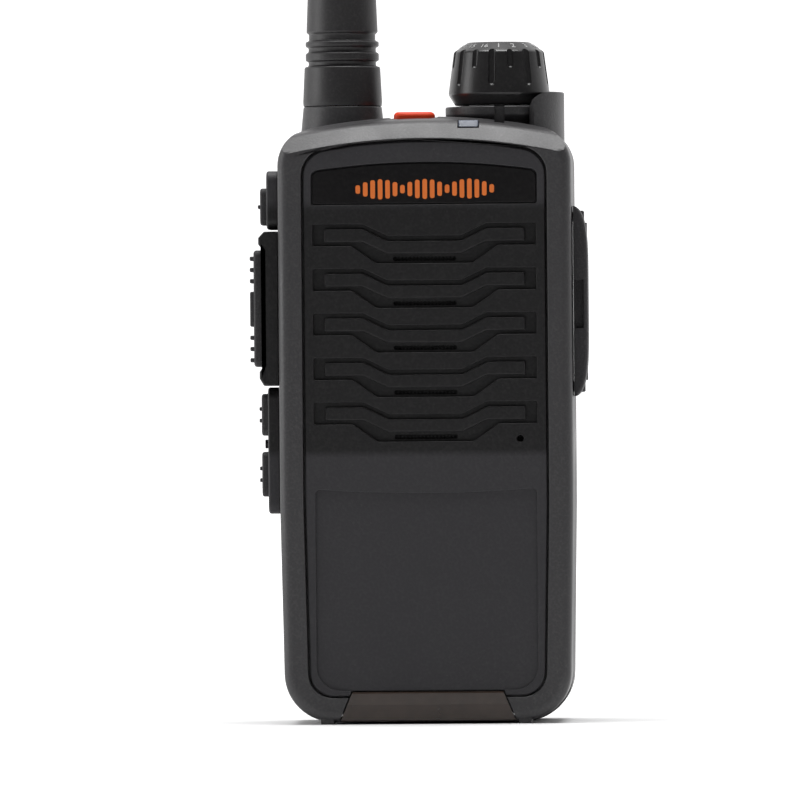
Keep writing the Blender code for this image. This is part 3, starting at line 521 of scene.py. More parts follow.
def moulded(name, colour, roughness, grain=0.35, depth=0.02, coarseness=0.5, dust=0.15, rub=0.12,
            specular=0.5, dust_colour=(0.3, 0.29, 0.28)):
    """Moulded plastic or rubber with its tool grain, dust and rubbed shine."""
    made, tree, shader, place = new_material(name)
    skin = group_of(tree, GRAIN, [("Vector", place), ("Grain Size", grain), ("Coarseness", coarseness)])
    marks = group_of(tree, MARKS, [("Vector", place), ("Colour", (*colour, 1)), ("Dust Colour", (*dust_colour, 1)),
                                   ("Dust", dust), ("Pits", skin.outputs["Pits"]), ("Roughness", roughness),
                                   ("Rub", rub)])
    tree.links.new(marks.outputs["Colour"], shader.inputs["Base Color"])
    tree.links.new(marks.outputs["Roughness"], shader.inputs["Roughness"])
    shader.inputs["Specular IOR Level"].default_value = specular
    bump_of(tree, shader, skin.outputs["Height"], depth)
    return made


def machined(name, colour, roughness, stretch, depth=0.004):
    """Bare or plated metal with fine lines."""
    made, tree, shader, place = new_material(name)
    lines = group_of(tree, BRUSHED, [("Vector", place), ("Stretch", stretch), ("Roughness", roughness)])
    tint = noise_of(tree, place, 300.0, 3.0)
    shade = step_of(tree, "ShaderNodeMix", [("Factor", range_of(tree, tint, 0.4, 0.7)), (6, (*colour, 1)),
                                            (7, (*[c * 0.82 for c in colour], 1))], data_type="RGBA")
    tree.links.new(shade.outputs[2], shader.inputs["Base Color"])
    tree.links.new(lines.outputs["Roughness"], shader.inputs["Roughness"])
    shader.inputs["Metallic"].default_value = 1.0
    bump_of(tree, shader, lines.outputs["Height"], depth)
    return made


def tinted_clear(name, colour, roughness, transmission, grain=0.6):
    """Smoked or tinted clear plastic, faintly cloudy inside."""
    made, tree, shader, place = new_material(name)
    cloud = range_of(tree, noise_of(tree, place, 220.0, 3.0), 0.35, 0.7)
    shade = step_of(tree, "ShaderNodeMix", [("Factor", cloud), (6, (*colour, 1)),
                                            (7, (*[c * 0.75 for c in colour], 1))], data_type="RGBA")
    tree.links.new(shade.outputs[2], shader.inputs["Base Color"])
    haze = range_of(tree, noise_of(tree, place, 900.0, 2.0), 0.3, 0.7, roughness * 0.8, roughness * 1.25)
    tree.links.new(haze, shader.inputs["Roughness"])
    shader.inputs["Transmission Weight"].default_value = transmission
    skin = group_of(tree, GRAIN, [("Vector", place), ("Grain Size", grain), ("Coarseness", 0.8)])
    bump_of(tree, shader, skin.outputs["Height"], 0.004)
    return made


def circuit_board():
    """Green solder mask over right-angled tracks, with tinned pads."""
    made, tree, shader, place = new_material("circuit_board")
    tracks = step_of(tree, "ShaderNodeTexBrick", [("Vector", place), ("Scale", 260.0), ("Color1", (0.012, 0.10, 0.04, 1)),
                                                  ("Color2", (0.016, 0.14, 0.055, 1)), ("Mortar", (0.03, 0.2, 0.085, 1)),
                                                  ("Mortar Size", 0.03)])
    pads = step_of(tree, "ShaderNodeTexVoronoi", [("Vector", place), ("Scale", 420.0), ("Randomness", 0.75)])
    tinned = range_of(tree, pads.outputs["Distance"], 0.16, 0.14)
    colour = step_of(tree, "ShaderNodeMix", [("Factor", tinned), (6, tracks.outputs["Color"]),
                                             (7, (0.6, 0.58, 0.52, 1))], data_type="RGBA")
    tree.links.new(colour.outputs[2], shader.inputs["Base Color"])
    tree.links.new(range_of(tree, tinned, 0.0, 1.0, 0.38, 0.25), shader.inputs["Roughness"])
    tree.links.new(tinned, shader.inputs["Metallic"])
    bump_of(tree, shader, tracks.outputs["Fac"], 0.03)
    return made


def woven_felt():
    """Black cloth over the speaker, with a plain weave."""
    made, tree, shader, place = new_material("speaker_felt")
    across = step_of(tree, "ShaderNodeTexWave", [("Vector", place), ("Scale", 420.0), ("Distortion", 0.6)],
                     bands_direction="X")
    upright = step_of(tree, "ShaderNodeTexWave", [("Vector", place), ("Scale", 420.0), ("Distortion", 0.6)],
                      bands_direction="Z")
    weave = math_of(tree, "MULTIPLY", across.outputs["Fac"], upright.outputs["Fac"])
    shade = step_of(tree, "ShaderNodeMix", [("Factor", weave), (6, (0.004, 0.004, 0.004, 1)),
                                            (7, (0.02, 0.02, 0.021, 1))], data_type="RGBA")
    tree.links.new(shade.outputs[2], shader.inputs["Base Color"])
    shader.inputs["Roughness"].default_value = 0.95
    bump_of(tree, shader, weave, 0.08)
    return made


def lit_part(name, colour, strength):
    """The small indicator chip behind the lens; a faint glow."""
    made, tree, shader, place = new_material(name)
    glow = range_of(tree, noise_of(tree, place, 700.0), 0.3, 0.7, 0.7, 1.0)
    shade = step_of(tree, "ShaderNodeMix", [("Factor", glow), (6, (0.2, 0.2, 0.2, 1)), (7, (*colour, 1))],
                    data_type="RGBA")
    tree.links.new(shade.outputs[2], shader.inputs["Base Color"])
    tree.links.new(shade.outputs[2], shader.inputs["Emission Color"])
    shader.inputs["Emission Strength"].default_value = strength
    shader.inputs["Roughness"].default_value = 0.3
    return made


def paint_grille_zone_shade(made):
    """Painted shade: the panel is darker between the grille's lower edge and the name plate, where the recessed
    grille zone lies in shade.
    """
    tree = made.node_tree
    height = step_of(tree, "ShaderNodeSeparateXYZ", [(0, tree.nodes["Texture Coordinate"].outputs["Object"])])
    height = height.outputs["Z"]
    grille_shade_zone = math_of(tree, "MULTIPLY", range_of(tree, height, 0.0545, 0.0560),
                   range_of(tree, height, 0.1072, 0.1050))
    # painted shade: the panel's colour outside the grille zone, and a much darker colour inside it standing in for
    # shade
    shade = step_of(tree, "ShaderNodeMix", [("Factor", grille_shade_zone), (6, (0.028, 0.027, 0.030, 1)),
                                            (7, (0.0055, 0.0052, 0.0058, 1))], data_type="RGBA")
    marks = next(n for n in tree.nodes if n.type == "GROUP" and n.node_tree == MARKS)
    tree.links.new(shade.outputs[2], marks.inputs["Colour"])
    tree.links.new(range_of(tree, grille_shade_zone, 0.0, 1.0, 0.5, 0.44), marks.inputs["Roughness"])


GRAIN = spark_grain()
MARKS = handling_marks()
BRUSHED = brushed_lines()
FINISHES = {
    "housing_plastic": moulded("housing_plastic", (0.027, 0.026, 0.028), 0.44, 0.42, 0.030, 0.45, 0.10),
    "panel_plastic": moulded("panel_plastic", (0.016, 0.015, 0.017), 0.5, 0.55, 0.030, 0.55, 0.04, specular=0.3),
    "name_plate": moulded("name_plate", (0.003, 0.0025, 0.003), 0.34, 0.7, 0.03, 0.7, 0.02, 0.08, specular=0.22),
    "key_rubber": moulded("key_rubber", (0.023, 0.022, 0.024), 0.6, 0.3, 0.018, 0.5, 0.12, specular=0.35),
    "antenna_rubber": moulded("antenna_rubber", (0.012, 0.011, 0.012), 0.45, 0.4, 0.012, 0.6, 0.06),
    "seal_rubber": moulded("seal_rubber", (0.010, 0.010, 0.010), 0.7, 0.35, 0.02, 0.5, 0.08),
    "knob_plastic": moulded("knob_plastic", (0.012, 0.0115, 0.012), 0.30, 0.5, 0.004, 0.6, 0.05, 0.06),
    "orange_plastic": moulded("orange_plastic", (0.76, 0.058, 0.014), 0.48, 0.4, 0.010, 0.5, 0.05, 0.08,
                              specular=0.25),
    "smoked_plastic": tinted_clear("smoked_plastic", (0.040, 0.025, 0.018), 0.14, 0.1),
    "lens_plastic": tinted_clear("lens_plastic", (0.095, 0.112, 0.150), 0.4, 0.0),
    "status_light": lit_part("status_light", (0.25, 0.6, 0.25), 0.2),
    "inner_plastic": moulded("inner_plastic", (0.02, 0.02, 0.021), 0.5, 0.5, 0.012, 0.5, 0.05),
    "steel": machined("steel", (0.50, 0.50, 0.51), 0.3, (1, 1, 0.05)),
    "switch_metal": machined("switch_metal", (0.62, 0.60, 0.56), 0.28, (0.05, 1, 1)),
    "brass": machined("brass", (0.80, 0.58, 0.24), 0.25, (1, 0.05, 1)),
    "chassis_alloy": machined("chassis_alloy", (0.42, 0.43, 0.44), 0.45, (1, 1, 1), 0.02),
    "circuit_board": circuit_board(),
    "cone_paper": moulded("cone_paper", (0.03, 0.03, 0.03), 0.9, 0.5, 0.05, 0.8, 0.2),
    "speaker_felt": woven_felt(),
    "cell_wrap": moulded("cell_wrap", (0.02, 0.10, 0.26), 0.3, 1.2, 0.01, 0.8, 0.03),
}
# paints shade onto the grille zone of the panel material
paint_grille_zone_shade(FINISHES["panel_plastic"])
# painted shade: a near-black colour for the slot pocket floors, standing in for the shadow inside the pockets
POCKET_PAINTED_SHADE = moulded("pocket_painted_shade", (0.002, 0.002, 0.002), 0.8, 0.5, 0.03, 0.5, 0.02, specular=0.1)
DIAL_WHITE = moulded("dial_white", (0.36, 0.36, 0.36), 0.5, 0.3, 0.004, 0.5, 0.05)
MARK_ORANGE = moulded("mark_orange", (0.72, 0.17, 0.03), 0.45, 0.3, 0.004, 0.5, 0.05, specular=0.3)


def placed(name, bm, finish, body, nodes=(), look=None, weigh=True, second=None, sharp=SHARP):
    """Turn a shape into a finished piece that rides on a body and stands for its CAD nodes."""
    bmesh.ops.remove_doubles(bm, verts=bm.verts, dist=0.001)
    bmesh.ops.scale(bm, vec=(MM, MM, MM), verts=bm.verts)
    mesh = bpy.data.meshes.new(name)
    bm.to_mesh(mesh)
    bm.free()
    mesh.shade_smooth()
    mesh.set_sharp_from_angle(angle=sharp)
    mesh.materials.clear()
    mesh.materials.append(look or FINISHES[finish])
    if second:
        mesh.materials.append(second)
    obj = bpy.data.objects.new(name, mesh)
    bpy.context.scene.collection.objects.link(obj)
    if weigh:
        even = obj.modifiers.new("even_shading", "WEIGHTED_NORMAL")
        even.keep_sharp = True
    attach(obj, body)
    if nodes:
        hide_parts(*nodes)
    return obj


def coat_frame_nodes():
    """Give every carried-over node the finish its record slot names."""
    for entry in frame["record"]["subparts"]:
        mesh = frame["nodes"][entry["node"]].data
        mesh.materials.clear()
        mesh.materials.append(FINISHES[entry["material_slot"]])
    gauze = frame["nodes"]["microphone"].data
    gauze.materials[0] = FINISHES["speaker_felt"]


# ---------------------------------------------------------------------- shell
def guard_wall():
    """The curved fence beside the channel knob, with falling front and back edges."""
    inner, outer, reach, steps = PEDESTAL_RADIUS + 0.4, PEDESTAL_RADIUS + 2.3, math.radians(56), 40
    angles = [reach * (2 * step / steps - 1) for step in range(steps + 1)]
    arc = [(outer, a) for a in angles] + [(inner, a) for a in reversed(angles)]
    wall = prism([(KNOB[0] + r * math.cos(a), KNOB[1] + r * math.sin(a)) for r, a in arc], 113.0, GUARD_TOP, "Z")
    soften(wall, lambda co: abs(co.z - GUARD_TOP) < 0.01, 0.35)
    crest, fall, drop, turns = 26.2, 4.8, 3.6, 20
    turn = [math.pi / 2 * step / turns for step in range(turns + 1)]
    curve = [(crest - fall * math.sin(a), GUARD_TOP - drop * (1 - math.cos(a))) for a in turn]
    low = GUARD_TOP - drop
    return without(wall, prism(curve + [(15.0, low), (15.0, GUARD_TOP + 2), (crest, GUARD_TOP + 2)], -15, 20))


def latch_half(height):
    """Half the latch's width at a height: it widens towards the base."""
    return LATCH_HALF + LATCH_SLOPE * (LATCH_TOP - height)


def latch_notch():
    top, low = LATCH_TOP + GAP, -0.5
    wide, narrow = latch_half(low) + GAP, latch_half(top) + GAP
    return [(narrow, top), (-narrow, top), (-wide, low), (wide, low)]


def brow_cutter(steps=48):
    """What the sloping brow above the front panel takes off the arched top edge."""
    section = eased(BROW, 1.4, 6) + [(BROW[-1][0], 3.0), (BROW[0][0], 3.0)]
    bm = bmesh.new()
    rows = []
    for step in range(steps + 1):
        x = BROW_REACH * (2 * step / steps - 1)
        rows.append([bm.verts.new((x, y, arch_height(x) + drop)) for y, drop in section])
    for row, following in zip(rows, rows[1:]):
        for index in range(len(section)):
            after = (index + 1) % len(section)
            bm.faces.new((row[index], row[after], following[after], following[index]))
    bm.faces.new(rows[0])
    bm.faces.new(rows[-1])
    bmesh.ops.recalc_face_normals(bm, faces=bm.faces)
    return bm


def housing():
    bm = prism(body_outline(), FRONT, BACK)
    soften(bm, lambda co: abs(co.y - FRONT) < 0.01, FRONT_ROUND, 8)
    soften(bm, lambda co: abs(co.y - BACK) < 0.01, BACK_ROUND, 8)
    bm = without(bm, brow_cutter())
    collar = [(0, COLLAR_TOP), (7.9, COLLAR_TOP), (8.1, COLLAR_TOP - 0.3), (8.6, 121.4), (8.6, 116), (0, 116)]
    bm = joined(bm, turned(eased(collar, 0.3), (*ANTENNA, 0)))
    pedestal = [(0, PEDESTAL_TOP), (PEDESTAL_RADIUS, PEDESTAL_TOP), (PEDESTAL_RADIUS, 124.5), (9.8, 123.3),
                (9.8, 118), (0, 118)]
    bm = joined(bm, turned(eased(pedestal, 0.35), (*KNOB, 0)))
    bm = joined(bm, guard_wall())
    feet = [soften(block((x - 1.3, -17.2, 0), (x + 1.3, -9.2, 2)), lambda co: co.z < 0.01, 0.15, 3)
            for x in (-20.6, 19.8)]
    bm = joined(bm, merged(*feet))
    bm = without(bm, block((-40, SPLIT, -5), (40, 30, SHELF[0])))
    bm = without(bm, prism(cavity_outline(), CAVITY_FRONT, SPLIT + 0.5))
    bm = without(bm, prism(upper_cavity_outline(), SPLIT - 1, BACK - WALL))
    bm = joined(bm, block((-28.5, -2.4, SHELF[0]), (28.5, 1.0, SHELF[1])))
    bm = joined(bm, merged(*[rod(3.4, CAVITY_FRONT - 1, -2.7, place, "Y") for place in SCREW_PLACES]))
    bm = without(bm, prism(body_outline(APERTURE_INSET), FRONT - 2, LEDGE_FRONT))
    bm = without(bm, prism(body_outline(LEDGE_INSET), LEDGE_FRONT - 0.5, CAVITY_FRONT + 0.1))
    bm = without(bm, merged(*[rod(1.5, -12.0, 0.0, place, "Y") for place in SCREW_PLACES]))
    bm = without(bm, prism(latch_notch(), FRONT - 2, -14.7))
    soften(bm, lambda co: abs(co.y - FRONT) < 0.005, 0.22, 3)
    bm = without(bm, rod(0.58, -19.4, 19.4, LATCH_PIN, "X", 24))
    bm = cut_sides(cut_top(bm))
    placed("housing_shell", bm, "housing_plastic", "radio", ["front_housing"])


def cut_top(bm):
    """Bores and pockets in the top: antenna, knob, index notch, button and lens."""
    bm = without(bm, rod(4.75, 115, 130, KNOB))
    bore = [(0, 130), (7.3, 130), (7.3, 125.7), (4.9, 125.7), (4.9, 115), (0, 115)]
    bm = without(bm, turned(bore, (*ANTENNA, 0)))
    bm = without(bm, block((INDEX_X[0], -9, 122.8), (INDEX_X[1], -5.9, 128)))
    x, y = TOP_BUTTON
    well = prism(box_outline(x - 5.5, x + 5.5, y - 4.6, y + 4.6, 2.6, 12), 123.2, 130, "Z")
    bm = without(bm, well)
    bm = without(bm, prism(box_outline(x - 4.5, x + 4.5, y - 3.2, y + 3.2, 1.8), 118, 130, "Z"))
    slot = [(-20, 121.65), (-14.3, 121.65), (-14.3, 118.5), (-12.3, 118.5), (-12.3, 126), (-20, 126)]
    return without(bm, prism(slot, LENS[0] - GAP, LENS[1] + GAP, "X"))


def cut_sides(bm):
    """Stem holes on the left, jack holes and hinge lugs on the right."""
    stems = [rod(1.7, -33, -26, (SIDE_Y, PTT_Z), "X")]
    stems += [rod(1.3, -33, -26, (SIDE_Y, height), "X") for height, half in KEYS.values()]
    bm = without(bm, merged(*stems))
    bm = without(bm, merged(*[rod(2.9, 26, 33, (SIDE_Y, height), "X") for height, bore in JACKS]))
    x, y = COVER_HINGE
    for low, high in ((COVER[0] + 1.0, COVER[0] + 3.0), (COVER[1] - 3.0, COVER[1] - 1.0)):
        lug = box_outline(29.0, x + 0.6, y - 1.1, y + 1.1, 0.5)
        bm = joined(bm, prism(lug, low, high, "Z"))
    return without(bm, rod(0.58, COVER[0] + 0.5, COVER[1] - 0.5, COVER_HINGE, steps=24))


# ----------------------------------------------------------------- front face
def window_outline(inset=0.0, steps=24):
    half, low = WINDOW_HALF - inset, WINDOW_LOW + inset
    arch = [half * (1 - 2 * step / steps) for step in range(steps + 1)]
    rise = WINDOW_TOP - WINDOW_SIDE
    top = [(x, WINDOW_SIDE - inset + rise * (1 - (x / half) ** 2), 0.0) for x in arch]
    top[0] = (top[0][0], top[0][1], 1.4)
    top[-1] = (top[-1][0], top[-1][1], 1.4)
    return rounded([(half, low, 0.6)] + top + [(-half, low, 0.6)], 6)


def lower_recess_outline(steps=20):
    half, (low, high) = LOWER_RECESS_HALF, LOWER_RECESS
    spread = [half * (1 - 2 * step / steps) for step in range(steps + 1)]
    top = [(x, high - 0.9 * (1 - (x / half) ** 2), 0.0) for x in spread]
    top[0] = (top[0][0], top[0][1], 1.0)
    top[-1] = (top[-1][0], top[-1][1], 1.0)
    return rounded([(half, low, 5.0)] + top + [(-half, low, 5.0)], 8)


def slot_outline():
    return wave(SLOT_HALF, 12.6, 7.5, 0.0, -2.45, -4.5, -8.1, spread=2.3)


def bar_outline():
    return wave(20.5, 12.6, 7.5, -1.0, -3.5, -3.7, -6.1)


def grille_panel():
    bm = prism(body_outline(PANEL_INSET), PANEL_FRONT, PANEL_BACK)
    soften(bm, lambda co: abs(co.y - PANEL_FRONT) < 0.01, 0.35, 4)
    floor = PANEL_FRONT + SLOT_DEPTH
    heights = [SLOT_TOP - SLOT_PITCH * index for index in range(SLOT_COUNT)]
    bm = without(bm, merged(*[prism(lifted(slot_outline(), z), PANEL_FRONT - 1, floor) for z in heights]))
    bm = without(bm, prism(window_outline(), PANEL_FRONT - 1, PANEL_FRONT + WINDOW_DEPTH))
    bm = without(bm, prism(lower_recess_outline(), PANEL_FRONT - 1, PANEL_FRONT + LOWER_RECESS_DEPTH))
    bm = without(bm, rod(0.7, PANEL_FRONT - 1, PANEL_BACK + 1, MIC, "Y"))
    bm = without(bm, prism(latch_notch(), FRONT - 2, -14.7))
    soften(bm, lambda co: abs(co.y - PANEL_FRONT) < 0.005, 0.16, 3)
    gaps = [prism(box_outline(-6.5, 6.5, z - 7.6, z - 6.7, 0.4, 3), floor - 0.5, PANEL_BACK + 1) for z in heights]
    bm = without(bm, merged(*gaps))
    bars = []
    for z in heights:
        bar = prism(lifted(bar_outline(), z), PANEL_FRONT + 0.15, floor + 0.2)
        bars.append(soften(bar, lambda co: abs(co.y - PANEL_FRONT - 0.15) < 0.005, 0.3, 4))
    bm = joined(bm, merged(*bars))
    # the slot pocket floors take the painted shade material
    for face in bm.faces:
        face.material_index = int(face.calc_center_median().y > floor - 0.05 and face.normal.y < -0.9)
    placed("grille_panel", bm, "panel_plastic", "radio", ["front_panel"], second=POCKET_PAINTED_SHADE)


def sound_mark():
    """A plain row of level bars across the name plate."""
    count, pitch, wide, tall = 19, 1.52, 0.95, 4.1
    centre_x, centre_z = 0.2, (WINDOW_LOW + WINDOW_SIDE) / 2 - 0.35
    bars = []
    for index in range(count):
        x = centre_x + pitch * (index - (count - 1) / 2)
        share = 0.42 + 0.58 * abs(math.cos(math.pi * (index - (count - 1) / 2) / 6))
        half = tall / 2 * share
        bar = box_outline(x - wide / 2, x + wide / 2, centre_z - half, centre_z + half, 0.4, 5)
        bars.append(prism(bar, PANEL_FRONT + 0.10, PANEL_FRONT + 0.3))
    placed("level_mark", merged(*bars), "name_plate", "radio", look=MARK_ORANGE, weigh=False)


def name_plate():
    plate = prism(window_outline(0.25), PANEL_FRONT + 0.15, PANEL_FRONT + WINDOW_DEPTH - 0.2)
    soften(plate, lambda co: abs(co.y - PANEL_FRONT - 0.15) < 0.01, 0.18, 4)
    placed("name_plate_face", plate, "name_plate", "radio", ["name_plate"])
    sound_mark()


# ----------------------------------------------------------------- side keys
def key_frames():
    """Fixed surrounds of the keys, glued to the left wall."""
    upper = prism(box_outline(SIDE_Y - 5.4, SIDE_Y + 5.4, 101.3, 113.3, 2.2), -32.5, SIDE_FACE, "X")
    soften(upper, lambda co: co.x < -32.4, 0.5)
    lower = prism(box_outline(SIDE_Y - 5.4, SIDE_Y + 5.4, 43.1, 69.0, 2.2), -32.5, SIDE_FACE, "X")
    soften(lower, lambda co: co.x < -32.4, 0.5)
    lower = joined(lower, rod(0.9, -33.3, -32.2, (SIDE_Y, 57.4), "X"))
    for name, (height, half) in KEYS.items():
        opening = box_outline(SIDE_Y - 3.5, SIDE_Y + 3.5, height - half - GAP, height + half + GAP, 1.6)
        opening, bore = prism(opening, -36, -30.9, "X"), rod(1.3, -32, -29, (SIDE_Y, height), "X")
        if name == "side_key":
            upper = without(without(upper, opening), bore)
        else:
            lower = without(without(lower, opening), bore)
    placed("upper_surround", upper, "panel_plastic", "radio", ["upper_key_frame"])
    placed("lower_surround", lower, "panel_plastic", "radio", ["lower_key_frame"])


def talk_frame():
    front, back = SIDE_Y - 6.2, SIDE_Y + 6.2
    outline = rounded([(SIDE_FACE, 69.3, 0), (-33.2, 69.3, 0.4), (-34.1, 70.8, 0.5), (-34.1, 72.2, 0.5),
                       (-33.2, 73.4, 0.5), (-33.2, 97.0, 0.5), (-34.2, 98.3, 0.5), (-34.2, 99.6, 0.5),
                       (-33.0, 100.9, 0.5), (SIDE_FACE, 100.9, 0)], 5)
    bm = prism(outline, front, back)
    soften(bm, lambda co: (abs(co.y - front) < 0.01 or abs(co.y - back) < 0.01) and co.x < -31, 0.5, 4)
    opening = box_outline(SIDE_Y - 4.6, SIDE_Y + 4.6, PTT_Z - PTT_HALF - GAP, PTT_Z + PTT_HALF + GAP, 1.6)
    bm = without(bm, prism(opening, -36, -31.0, "X"))
    bm = without(bm, rod(1.7, -32, -29, (SIDE_Y, PTT_Z), "X"))
    placed("talk_surround", bm, "panel_plastic", "radio", ["ptt_frame"])


def ridge(low_z, high_z, half_y, outer, root, round_off):
    outline = box_outline(SIDE_Y - half_y, SIDE_Y + half_y, low_z, high_z, min(0.4, (high_z - low_z) * 0.4))
    return soften(prism(outline, outer, root, "X"), lambda co: co.x < outer + 0.01, round_off, 4)


def talk_button(row):
    face, back = -35.3, -32.4
    outline = box_outline(SIDE_Y - 4.3, SIDE_Y + 4.3, PTT_Z - PTT_HALF, PTT_Z + PTT_HALF, 1.4, 10)
    bm = soften(prism(outline, face, back, "X"), lambda co: co.x < face + 0.01, 0.6, 6)
    look = FINISHES["key_rubber"]
    for lowest in (90.8, 74.6):
        rib = ridge(lowest - 0.45, lowest + 0.45, 3.4, -36.1, face + 0.4, 0.25)
        bm = joined(bm, repeated(rib, row, 3, (0, 0, 2.3), look))
    bm = joined(bm, ridge(PTT_Z - 3.7, PTT_Z + 3.5, 3.4, -36.1, face + 0.4, 0.35))
    bm = joined(bm, rod(1.3, back - 0.5, -27.0, (SIDE_Y, PTT_Z), "X"))
    placed("talk_button", bm, "key_rubber", "ptt_button", ["ptt_button"])


def side_keys():
    face, back = -33.9, -31.9
    for name, (height, half) in KEYS.items():
        outline = box_outline(SIDE_Y - 3.2, SIDE_Y + 3.2, height - half, height + half, 1.3)
        bm = soften(prism(outline, face, back, "X"), lambda co: co.x < face + 0.01, 0.5)
        for nub in (0.0,) if name == "side_key" else (-1.2, 1.2):
            bm = joined(bm, ridge(height + nub - 0.4, height + nub + 0.4, 2.0, face - 0.5, face + 0.4, 0.2))
        bm = joined(bm, rod(1.0, back - 0.4, -26.6, (SIDE_Y, height), "X"))
        placed(f"{name}_cap", bm, "key_rubber", name, [name])


# ------------------------------------------------------------------ top parts
def antenna_sheath():
    x, y = ANTENNA
    outer = [(0, ANTENNA_TIP), (1.9, ANTENNA_TIP - 0.3), (3.4, ANTENNA_TIP - 1.2), (4.3, ANTENNA_TIP - 3.0),
             (7.35, 142.0), (6.84, 141.7), (6.84, 140.3)]
    for top, low in ((140.1, 139.1), (137.7, 136.2)):
        outer += [(7.55, top), (7.55, low), (6.94, low - 0.2), (6.94, low - 1.1)]
    outer += [(7.8, 134.9), (8.16, 127.6), (8.05, SKIRT_LOW)]
    inner = [(7.35, SKIRT_LOW), (7.35, ANTENNA_LOW), (4.7, ANTENNA_LOW), (4.7, 136.0), (3.4, 136.6),
             (3.4, 212.0), (0, 212.0)]
    bm = turned(eased(outer, 0.35) + inner, (x, y, 0))
    placed("antenna_sleeve", bm, "antenna_rubber", "antenna", ["antenna_sheath"])


def flute(low, radius):
    """A tapered groove down the front of the knob's side."""
    lean = math.atan2(KNOB_RADIUS - 9.3, KNOB_RIM - KNOB_WIDE)
    length = KNOB_RIM + 1.5 - low
    curve = [math.pi / 2 * step / 6 for step in range(7)]
    tip = [(radius * math.cos(a), radius - radius * math.sin(a)) for a in curve]
    bm = turned([(0, length), (radius, length)] + tip[:-1] + [(0, 0)], steps=24)
    at_low = KNOB_RADIUS - (low - KNOB_WIDE) * math.tan(lean) + radius * 0.25
    place = Matrix.Translation((at_low, 0, low)) @ Matrix.Rotation(-lean, 4, "Y")
    bmesh.ops.transform(bm, matrix=place, verts=bm.verts)
    return bm


def channel_knob(ring):
    profile = [(0, KNOB_TOP), (6.35, KNOB_TOP), (9.0, KNOB_RIM + 0.3), (9.3, KNOB_RIM), (KNOB_RADIUS, KNOB_WIDE),
               (KNOB_RADIUS - 0.2, KNOB_WIDE - 0.5), (9.06, KNOB_LOW), (7.6, KNOB_LOW), (7.6, 135.3), (0, 135.3)]
    bm = turned(eased(profile, 0.3), (*KNOB, 0), steps=160)
    front = -math.pi / 2 - math.radians(6.7)
    step = 2 * math.pi / DETENTS
    look = FINISHES["knob_plastic"]
    for offset, low, radius in ((0, 130.6, 0.85), (1, 134.2, 0.7)):
        grooves = repeated(flute(low, radius), ring, DETENTS // 2, (0, 0, 2 * step), look)
        turn = Matrix.Translation((*KNOB, 0)) @ Matrix.Rotation(front + offset * step, 4, "Z")
        bmesh.ops.transform(grooves, matrix=turn, verts=grooves.verts)
        bm = without(bm, grooves)
    placed("channel_knob_cap", bm, "knob_plastic", "channel_knob", ["channel_knob"])


def numeral(text, size):
    """One raised number, centred, lying in the XY plane."""
    curve = bpy.data.curves.new("numeral", "FONT")
    curve.body = text
    curve.size = size
    curve.extrude = 0.05
    curve.align_x = "CENTER"
    curve.align_y = "CENTER"
    curve.resolution_u = 6
    obj = bpy.data.objects.new("numeral", curve)
    bpy.context.scene.collection.objects.link(obj)
    bm = as_shaped(obj)
    bpy.data.objects.remove(obj, do_unlink=True)
    bpy.data.curves.remove(curve)
    bmesh.ops.remove_doubles(bm, verts=bm.verts, dist=0.0005)
    return bm


def dial_numbers():
    """Channel numbers round the knob's sloping rim, the first one at the index."""
    low, high = Vector((9.0, KNOB_RIM + 0.3)), Vector((6.35, KNOB_TOP))
    slope = (high - low).normalized()
    normal = Vector((slope.y, -slope.x)) if slope.y > 0 else Vector((-slope.y, slope.x))
    middle = (low + high) / 2
    first, step = -math.pi / 2 + math.radians(1.5), 2 * math.pi / DETENTS
    shapes = []
    for index in range(DETENTS):
        text = str(index + 1)
        bm = numeral(text, 2.1 if len(text) == 1 else 1.8)
        for vert in bm.verts:
            across, up, lift = vert.co
            ray = middle + slope * up + normal * (lift + 0.01)
            angle = first + step * index + across / middle.x
            vert.co = (KNOB[0] + ray.x * math.cos(angle), KNOB[1] + ray.x * math.sin(angle), ray.y)
        shapes.append(bm)
    placed("dial_numbers", merged(*shapes), "knob_plastic", "channel_knob", look=DIAL_WHITE, weigh=False)


def top_button():
    x, y = TOP_BUTTON
    outline = box_outline(x - 4.2, x + 4.2, y - 2.9, y + 2.9, 1.6, 12)
    bm = soften(prism(outline, 120.9, 125.3, "Z"), lambda co: co.z > 125.29, 0.9, 8)
    bm = joined(bm, rod(1.0, 118.8, 121.3, TOP_BUTTON))
    placed("alert_button", bm, "orange_plastic", "top_button", ["top_button"])


def status_lens():
    lens = rounded([(-15.5, 121.85, 0.1), (-14.35, 123.3, 0.5), (-12.6, 123.3, 0.2), (-12.6, 117, 0),
                    (-13.4, 117, 0), (-13.4, 121.85, 0)], 5)
    bm = prism(lens, LENS[0] - 0.15, LENS[1] + 0.15, "X")
    soften(bm, lambda co: co.y < -13.9 and co.z > 121.8, 0.3, 4)
    placed("status_lens", bm, "lens_plastic", "radio", ["light_pipe"])


# ---------------------------------------------------------------- right side
def accessory_cover():
    x, y = COVER_HINGE
    low, high = COVER
    middle, half = (low + high) / 2, (high - low) / 2
    spread = [math.cos(math.pi * step / 60) for step in range(61)]
    bow = [(-SIDE_FACE + 2.9 * math.sqrt(1 - abs(t) ** 5), middle + half * t) for t in spread]
    front, back = SIDE_Y - 5.8, y - 1.4
    bm = prism(bow, front, back)
    soften(bm, lambda co: abs(co.y - front) < 0.01 and co.x > 30.9, 0.7, 5)
    soften(bm, lambda co: abs(co.y - back) < 0.01 and co.x > 30.9, 0.4, 4)
    bm = joined(bm, block((30.6, y - 2.0, low + 3.3), (x + 0.9, y, high - 3.3)))
    bm = joined(bm, rod(1.15, low + 3.3, high - 3.3, COVER_HINGE))
    bm = without(bm, rod(0.58, low, high, COVER_HINGE, steps=24))
    bm = without(bm, block((30.0, SIDE_Y - 7, 80.6), (32.4, SIDE_Y - 4.4, 90.5)))
    placed("jack_cover", bm, "key_rubber", "accessory_cover", ["accessory_cover"])


